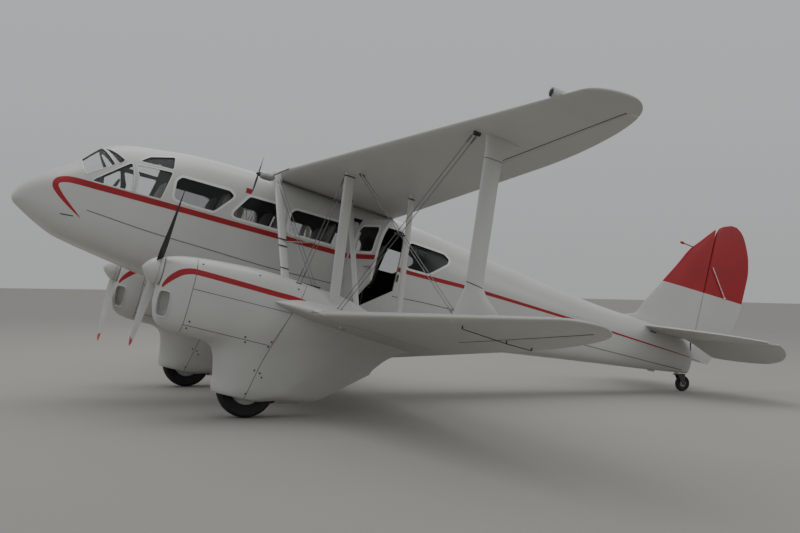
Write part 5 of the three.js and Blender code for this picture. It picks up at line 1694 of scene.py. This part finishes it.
# Tail

# Level z, leading edge x, half thickness of the fin
FIN = [
    [250, 8430, 46], [338, 8520, 46], [350, 8640, 46], [400, 8770, 46], [620, 8890, 44], [990, 9120, 40],
    [1300, 9310, 36], [1560, 9460, 32], [1710, 9600, 28], [1850, 9725, 24], [1945, 9815, 18],
]
# Level z, front edge aft of the hinge, trailing edge x, half thickness of the rudder
RUDDER = [
    [-50, 0, 10190, 34], [110, 0, 10280, 38], [300, 0, 10390, 40], [520, 0, 10485, 40],
    [960, 0, 10565, 37], [1370, 0, 10570, 33], [1640, 0, 10520, 29], [1850, 0, 10425, 24],
    [1965, 20, 10350, 18], [2045, 110, 10270, 12], [2085, 220, 10190, 7],
]
# Distance y, leading edge x, half thickness of the tailplane
TAILPLANE = [
    [40, 8870, 46], [800, 9000, 40], [1500, 9135, 33], [1850, 9245, 26], [2080, 9345, 20], [2220, 9440, 14],
]
# Distance y, trailing edge x, half thickness of the elevator before it droops
ELEVATOR = [
    [150, 9700, 38], [330, 10085, 37], [900, 10110, 34], [1500, 10085, 29],
    [1900, 9990, 23], [2120, 9880, 17], [2240, 9770, 12], [2290, 9680, 7],
]
# The fin and rudder are red above this level
RED_FROM = 975.0
TORQUE_TUBE = {"radius": 20.0, "end": 135.0}
HEEL_FOOT = -90.0
# Pad under the tail, room for the rudder's post in the rear fuselage, and the lug under the rudder's heel
TAIL_PAD = {"ends": [[9250, 0, -330], [9250, 0, -365]], "radius": 55.0}
POST_ROOM = {"top": 600.0, "radius": 51.0}
LUG = {"root": 70.0, "reach": 20.0, "half": 16.0, "depth": 20.0}
CASTOR = {"lead": 105.0, "boss_foot": 148.0, "boss_top": 225.0, "radius": 24.0}
# Places and radii along the rods and levers of the tail
FIN_STAY = [[9310, -30, 1603], [9490, -34, 1592]]
FIN_STAY_BULB = [[9250, -29, 1608], [9268, -29, 1607], [9305, -30, 1604], [9325, -30, 1603]]
BULB_RADII = [9, 19, 19, 9]
RUDDER_ROD = [[9885, -58, 1380], [10215, -42, 985]]
RUDDER_HORN = [[10206, -46, 975], [10230, -16, 995]]
ELEVATOR_LEVER = [[9668, 225, 176], [9682, 225, 120], [9700, 225, 62]]
LEVER_RADII = [11, 8, 6]
CABLE_SLOT = [[8985, 186], [9085, 182]]
# x and y of the fittings on top of a tailplane
TAILPLANE_FITTINGS = [[9430, 440], [9415, 1676]]
# End of the waist stripe on the rudder: x and z of its ends
RUDDER_STRIPE = [[9885, -28], [10050, -42]]


def spread_levels(table, count, extra=()):
    return sorted([*np.linspace(table[0][0], table[-1][0], count), *extra])


def half_section(front, rear, half):
    """[along, across] points of a round-nosed surface that stays thick to its rear edge."""
    shares = np.linspace(0, 1, 15) ** 1.8
    nose = half * np.sqrt(np.clip(1 - (1 - np.clip(shares / 0.5, 0, 1)) ** 2, 0, 1))
    across = np.where(shares > 0.5, half * (1 - 0.08 * (shares - 0.5) / 0.5), nose)
    return front + shares * (rear - front), across


def is_red(point, normal):
    return point.z > RED_FROM


def rear_taper(x, front, rear, half):
    """Half thickness of a control surface behind its hinge."""
    return half + (4 - half) * ((x - front) / (rear - front)) ** 1.15


def control_ring(front, rear, half, arcs):
    """Ring [along, across] of a control surface: round in front of its hinge, tapered behind it."""
    ring = [(front - half * math.sin(t), half * math.cos(t)) for t in np.linspace(0, math.pi, arcs + 1)]
    back = [front + (rear - front) * share for share in np.linspace(0, 1, 8)[1:]]
    ring += [(x, -rear_taper(x, front, rear, half)) for x in back]
    return ring + [(x, rear_taper(x, front, rear, half)) for x in back[::-1]]


def fin_and_rudder():
    front_at, half_at = curve(FIN, 1), curve(FIN, 2)
    rings = []
    for z in spread_levels(FIN, 36, [RED_FROM]):
        along, across = half_section(front_at(z), RUDDER_HINGE_X - 46, half_at(z))
        rings.append(mirrored(along, across, np.full_like(along, z), 1))
    fin = add("fin_skin", loft(rings), [fabric_paint, red_paint], slot="fin_paint", nodes=["fin"])
    paint_faces(fin, 1, is_red)
    offset_at, rear_at, half_at = (curve(RUDDER, column) for column in (1, 2, 3))
    rings = []
    for z in spread_levels(RUDDER, 44, [RED_FROM]):
        ring = control_ring(RUDDER_HINGE_X + offset_at(z), rear_at(z), half_at(z), 12)
        rings.append([(x, y, z) for x, y in ring])
    heel = tube([(RUDDER_HINGE_X, 0, HEEL_FOOT), (RUDDER_HINGE_X, 0, RUDDER[0][0] + 20)], 9, 16)
    rudder = combine("UNION", solid(loft(rings)), solid(heel))
    set_down(rudder, "rudder_skin", [fabric_paint, red_paint], body="rudder", slot="fin_paint",
             nodes=["rudder"])
    paint_faces(rudder, 1, is_red)


def tail_surfaces():
    level = ELEVATOR_HINGE["z"]
    hinge = Vector((ELEVATOR_HINGE["x"], 0, level)) * MM
    droop = Matrix.Translation(hinge) @ Matrix.Rotation(math.radians(ELEVATOR_DROOP), 4, "Y")
    for label, side in SIDES:
        front_at, half_at = curve(TAILPLANE, 1), curve(TAILPLANE, 2)
        rings = []
        for y in spread_levels(TAILPLANE, 36):
            half = half_at(y)
            along, across = half_section(front_at(y), ELEVATOR_HINGE["x"] - half - PLAY, half)
            ring = mirrored(along, across, np.full_like(along, side * y), 1)
            rings.append(ring[:, [0, 2, 1]] + [0, 0, level])
        add(f"tailplane_skin_{label}", loft(rings), fabric_paint, nodes=[f"tailplane_{label}"])
        rear_at, half_at = curve(ELEVATOR, 1), curve(ELEVATOR, 2)
        rings = []
        for y in spread_levels(ELEVATOR, 44):
            ring = control_ring(0, rear_at(y) - ELEVATOR_HINGE["x"], half_at(y), 10)
            rings.append([(x, side * y, z) for x, z in ring])
        ends = [(0, side * y, 0) for y in (ELEVATOR[0][0] + 5, TORQUE_TUBE["end"] + SEAT)]
        flap = combine("UNION", solid(loft(rings)), solid(tube(ends, TORQUE_TUBE["radius"], 24)))
        flap.data.transform(droop)
        elevator = f"elevator_{label}"
        set_down(flap, f"elevator_skin_{label}", fabric_paint, body=elevator, nodes=[elevator])


def tail_details():
    add("fin_stay", tube(FIN_STAY, 8, 16), dark_steel, slot="steel")
    add("fin_stay_bulb", tube(FIN_STAY_BULB, BULB_RADII, 20), red_paint)
    rod = joined(tube(RUDDER_ROD, 6, 10), block(*RUDDER_HORN))
    add("rudder_rod", rod, frame_paint, body="rudder", slot="steel")
    for label, side in SIDES:
        lever = tube(np.array(ELEVATOR_LEVER) * [1, side, 1], LEVER_RADII)
        add(f"elevator_lever_{label}", lever, dark_steel, body=f"elevator_{label}", slot="steel")
    rudder_stripe()
    slots = [tube(on_side(CABLE_SLOT, side, [1, 1]), 9) for side in (PORT, STARBOARD)]
    add("cable_slots", joined(*slots), joint_line)
    marks = [tube([(x, side * y, 262), (x, side * y, 300)], 9)
             for side in (PORT, STARBOARD) for x, y in TAILPLANE_FITTINGS]
    add("tailplane_fittings", joined(*marks), steel, slot="steel")


def rudder_stripe():
    """End of the waist stripe, on the foot of the rudder."""
    rear_at, half_at = curve(RUDDER, 2), curve(RUDDER, 3)
    bands = []
    for side in (PORT, STARBOARD):
        rings = []
        for x, z in resampled(RUDDER_STRIPE, 15, closed=False):
            y = rear_taper(x, RUDDER_HINGE_X, rear_at(z), half_at(z))
            corners = ((-2, -4), (-2, 4), (1.2, 4), (1.2, -4))
            rings.append([(x, side * (y + out), z + up) for out, up in corners])
        bands.append(loft(rings))
    add("rudder_stripe", joined(*bands), red_paint, body="rudder")


def levelled(geometry):
    """Sets a piece drawn upright about the tail wheel's axle into the airframe's axes."""
    turned = turned_about(geometry, "Y", -math.degrees(GROUND_ANGLE))
    return moved(turned, (TAIL_WHEEL["x"], 0, TAIL_WHEEL["z"]))


def rear_body():
    """Rear fuselage with the castor's boss, the elevators' fixed tube, the pad and the heel lug."""
    stations = np.linspace(SHELL_END + SEAT, FUSELAGE_END, 70)
    body = solid(loft([fuselage_ring(x, count=96) for x in stations]))
    post = [(-CASTOR["lead"], 0, CASTOR[end]) for end in ("boss_foot", "boss_top")]
    combine("UNION", body, solid(levelled(tube(post, CASTOR["radius"] + 8, 32))))
    room = [(RUDDER_HINGE_X, 0, RUDDER_FOOT - PLAY), (RUDDER_HINGE_X, 0, POST_ROOM["top"])]
    cut(body, solid(tube(room, POST_ROOM["radius"], 32)))
    pad = tube(TAIL_PAD["ends"], TAIL_PAD["radius"], 32)
    level, reach, top = ELEVATOR_HINGE["z"], TORQUE_TUBE["end"], HEEL_FOOT - SEAT
    fixed = tube([(ELEVATOR_HINGE["x"], y, level) for y in (-reach, reach)], TORQUE_TUBE["radius"] + 4, 24)
    lug = block((FUSELAGE_END - LUG["root"], -LUG["half"], top - LUG["depth"]),
                (RUDDER_HINGE_X + LUG["reach"], LUG["half"], top))
    combine("UNION", body, *(solid(geometry) for geometry in (pad, fixed, lug)))
    set_down(body, "rear_body", white_paint, nodes=["rear_fuselage"])


# Wheels and propellers

TYRE_ARC = 0.42 * math.pi
BEAD = 0.62
MAIN_RIM, TAIL_RIM = 200.0, 66.0
# Distance from the axle and place across it, round one half of each wheel's disc
MAIN_DISC = [[31, -80], [60, -80], [70, -74], [110, -58], [176, -50]]
TAIL_DISC = [[11, -37], [26, -37], [30, -30], [56, -14], [60, -21], [69, -23]]


def tyre(wheel, rim, count):
    """Round tyre as a solid of revolution about y."""
    radius, half, middle = wheel["radius"], wheel["width"] / 2, (wheel["radius"] + rim) / 2 + 4
    outline = [[middle + (radius - middle) * math.cos(t) ** 0.8, half * math.sin(t) / math.sin(TYRE_ARC)]
               for t in np.linspace(-TYRE_ARC, TYRE_ARC, 23)]
    return lathe([[rim - 14, -half * BEAD], *outline, [rim - 14, half * BEAD]], "y", count)


def disc(half_profile, sides):
    """Wheel disc from one half of its profile."""
    return lathe([*half_profile, *([radius, -across] for radius, across in half_profile[::-1])], "y", sides)


def wheels():
    bead = MAIN_WHEEL["width"] / 2 * BEAD
    for label, side in SIDES:
        centre, body = (MAIN_WHEEL["x"], side * MAIN_WHEEL["y"], MAIN_WHEEL["z"]), f"main_wheel_{label}"
        rubber = moved(tyre(MAIN_WHEEL, MAIN_RIM, 96), centre)
        add(f"main_tyre_{label}", rubber, black_rubber, body=body, slot="tyre", nodes=[f"wheel_{label}"])
        hub = moved(disc([*MAIN_DISC, [190, -bead], [203, -bead - 4]], 72), centre)
        add(f"main_hub_{label}", hub, hub_paint, body=body)
    centre = (TAIL_WHEEL["x"], 0, TAIL_WHEEL["z"])
    rubber = moved(tyre(TAIL_WHEEL, TAIL_RIM, 64), centre)
    add("tail_tyre", rubber, black_rubber, body="tail_roller", slot="tyre", nodes=["tail_wheel"])
    add("tail_hub", moved(disc(TAIL_DISC, 48), centre), hub_paint, body="tail_roller")


# Radius, chord, thickness and blade angle of each section of a propeller blade
BLADE = [
    [60, 74, 56, 60], [160, 94, 42, 50], [320, 140, 28, 36], [600, 148, 16, 24],
    [860, 116, 10, 18], [980, 76, 7, 16], [1025, 34, 4, 15],
]


def blade(scale=1.0, count=40):
    """Propeller blade that stands along z."""
    chord_at, thick_at, angle_at = (curve(BLADE, column) for column in (1, 2, 3))
    shares = (1 - np.cos(np.linspace(0, math.pi, 11))) / 2
    camber = np.sin(np.pi * shares)
    back = np.stack([shares - 0.5, 0.45 * camber], axis=1)
    face = np.stack([shares - 0.5, -0.2 * camber], axis=1)
    outline = np.vstack([back, face[1:-1][::-1]])
    rings = []
    for radius in np.linspace(BLADE[0][0], BLADE[-1][0], count):
        angle = math.radians(angle_at(radius))
        c, s = math.cos(angle), math.sin(angle)
        along, out = outline[:, 0] * chord_at(radius) * scale, outline[:, 1] * thick_at(radius) * scale
        ring = [-out * c + along * s, along * c + out * s, np.full(len(along), radius * scale)]
        rings.append(np.stack(ring, axis=1))
    return loft(rings)


PROPELLERS = {"port": 31.0, "starboard": -12.0}
BLADE_TIP_RADIUS = 930.0
SPINNER_SEAM = 0.8


def dome_radius(share):
    """Radius of a spinner at a share of its length."""
    return SPINNER["radius"] * (1 - (1 - share) ** 2) ** 0.8


def propeller(label, y):
    """Blades, spinner with its seam, and shaft of the propeller at a distance y."""
    body = f"airscrew_{label}"

    def behind(point, normal):
        return normal.x > 0.0

    def at_tip(point, normal):
        return math.hypot(point.y - y, point.z - THRUST_LINE) > BLADE_TIP_RADIUS and normal.x <= 0.0

    for number, turn in enumerate((0, 180)):
        form = moved(turned_about(blade(), "X", turn + PROPELLERS[label]), (PROPELLER_X, y, THRUST_LINE))
        piece = add(f"blade_{number}_{label}", form, [blade_front, blade_back, blade_tip], body=body,
                    slot="propeller_metal")
        paint_faces(piece, 1, behind)
        paint_faces(piece, 2, at_tip)
    tip, base = SPINNER["tip"], SPINNER["base"]
    length = base - tip
    profile = [[max(0.01, dome_radius(share)), tip + length * share] for share in np.linspace(0, 1, 26)]
    cone = moved(lathe([*profile, [0.01, base]], "x", 72), (0, y, THRUST_LINE))
    add(f"spinner_{label}", cone, white_paint, body=body, nodes=[f"propeller_{label}"])
    centre = (tip + length * SPINNER_SEAM, y, THRUST_LINE)
    ring = hoop(circle(centre, dome_radius(SPINNER_SEAM) - 0.5, 72), 2.2)
    add(f"spinner_seam_{label}", ring, seam_paint, body=body)
    shaft = tube([(x, y, THRUST_LINE) for x in (base - 5, ENGINE_FRONT - SEAT)], SHAFT_RADIUS, 32)
    add(f"propeller_shaft_{label}", shaft, dark_steel, body=body, slot="steel")


def propellers():
    for label, side in SIDES:
        propeller(label, side * MAIN_WHEEL["y"])


# Wind-driven generator ahead of the port wing root
GENERATOR = {"x": 2640.0, "y": -930.0, "z": 655.0}
# Radius and place along x of the pod's outline and of the small propeller's hub
POD = [
    [0.01, 20], [26, 20], [36, 28], [43, 38], [48, 52], [48, 90], [49.5, 92], [49.5, 98], [48, 100],
    [48, 150], [44, 168], [34, 188], [22, 204], [12, 210], [0.01, 210],
]
GENERATOR_HUB = [[0.01, -30], [8, -28], [13, -22], [20, -6], [26, 8], [26, 19.7], [0.01, 19.7]]
# Arm from the pod up to the wing: where it starts, how far it runs back and up, its chord and thickness
POD_ARM = {"start": 130.0, "run": 260.0, "rise": 200.0, "size": (44.0, 18.0)}
SMALL_BLADE = {"scale": 0.24, "turn": 18.0}


def generator():
    x, y, z = (GENERATOR[key] for key in "xyz")
    pod = moved(lathe(POD, "x", 40), (x, y, z))
    start, run, rise = (POD_ARM[key] for key in ("start", "run", "rise"))
    arm = loft([strut_ring(x + start + run * share, y, z + rise * share, *POD_ARM["size"])
                for share in np.linspace(0, 1, 8)])
    add("generator_pod", joined(pod, arm), steel, slot="steel", nodes=["generator_body"])
    blades = [turned_about(blade(SMALL_BLADE["scale"], 20), "X", turn + SMALL_BLADE["turn"])
              for turn in (0, 180)]
    airscrew = moved(joined(lathe(GENERATOR_HUB, "x", 32), *blades), (x, y, z))
    add("generator_blades", airscrew, dark_steel, body="generator_airscrew", slot="propeller_metal",
        nodes=["generator_propeller"])


def kept_nodes():
    """Better finishes for the solids of the model that stay in view."""
    finishes = {"engine_port": engine_metal, "engine_starboard": engine_metal, "cabin_floor": carpet,
                "tail_fork": dark_steel}
    for name, material in finishes.items():
        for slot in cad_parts[name].material_slots:
            slot.material = material


# The photograph's viewpoint, worked out from the sizes of the object seen in it
VIEWPOINT = {"place": (-5.8745, -14.690, 1.616), "yaw": 20.66, "pitch": 0.52, "roll": 1.13, "zoom": 1.448375}


def linked(name, data):
    """A lamp, camera or floor in the scene."""
    thing = bpy.data.objects.new(name, data)
    bpy.context.scene.collection.objects.link(thing)
    return thing


def camera():
    yaw, pitch, roll = (math.radians(VIEWPOINT[key]) for key in ("yaw", "pitch", "roll"))
    forward = Vector((math.sin(yaw) * math.cos(pitch), math.cos(yaw) * math.cos(pitch), math.sin(pitch)))
    right = Vector((math.cos(yaw), -math.sin(yaw), 0))
    up = right.cross(forward)
    across = right * math.cos(roll) + up * math.sin(roll)
    upward = up * math.cos(roll) - right * math.sin(roll)
    data = bpy.data.cameras.new("camera")
    data.sensor_width = 36.0
    data.lens = 36.0 * VIEWPOINT["zoom"]
    data.clip_end = 300.0
    seer = linked("camera", data)
    turn = Matrix((across, upward, -forward)).transposed().to_4x4()
    seer.matrix_world = Matrix.Translation(VIEWPOINT["place"]) @ turn
    bpy.context.scene.camera = seer


# Soft lamps: name, place, aim, power and extent
LAMPS = (
    ("overhead", (-3, 2, 13), (0, 0, 1), 560.0, 12.0),
    ("key", (15, -15, 9), (2, 0, 1), 400.0, 9.0),
    ("back", (4, 16, 11), (0, 0, 1), 200.0, 12.0),
)


FLOOR_RADIUS = 90.0


def studio():
    """Pale floor, an overcast-like sky and soft lamps."""
    mesh = bpy.data.meshes.new("floor")
    turns = np.linspace(0, 2 * math.pi, 64, endpoint=False)
    rim = [(FLOOR_RADIUS * math.cos(t), FLOOR_RADIUS * math.sin(t), 0) for t in turns]
    mesh.from_pydata(rim, [], [tuple(range(64))])
    floor = linked("floor", mesh)
    mesh.materials.append(surface("floor_finish", (0.38, 0.365, 0.33), 0.9, spread=0.02, scale=0.4))
    world = bpy.data.worlds.new("sky")
    bpy.context.scene.world = world
    world.use_nodes = True
    nodes, links = world.node_tree.nodes, world.node_tree.links
    split = nodes.new("ShaderNodeSeparateXYZ")
    links.new(nodes.new("ShaderNodeTexCoord").outputs["Generated"], split.inputs["Vector"])
    colour = ramp(nodes, links, span(nodes, links, split.outputs["Z"], 0.0, 1.0),
                  [[0.0, (0.70, 0.71, 0.72)], [0.15, (0.80, 0.82, 0.83)], [0.6, (0.95, 0.97, 1.0)]])
    links.new(colour, nodes["Background"].inputs["Color"])
    nodes["Background"].inputs["Strength"].default_value = 0.6
    for name, spot, aim, energy, extent in LAMPS:
        data = bpy.data.lights.new(name, "AREA")
        data.energy = energy
        data.size = extent
        lamp = linked(name, data)
        lamp.location = spot
        lamp.rotation_euler = (Vector(aim) - Vector(spot)).to_track_quat("-Z", "Y").to_euler()


nose_cone()
cabin_shell()
canopy()
cabin_windows()
door()
stripes()
rear_body()
seats()
cockpit()
wings()
nacelles()
struts()
fin_and_rudder()
tail_surfaces()
tail_details()
wheels()
propellers()
generator()
kept_nodes()
camera()
studio()
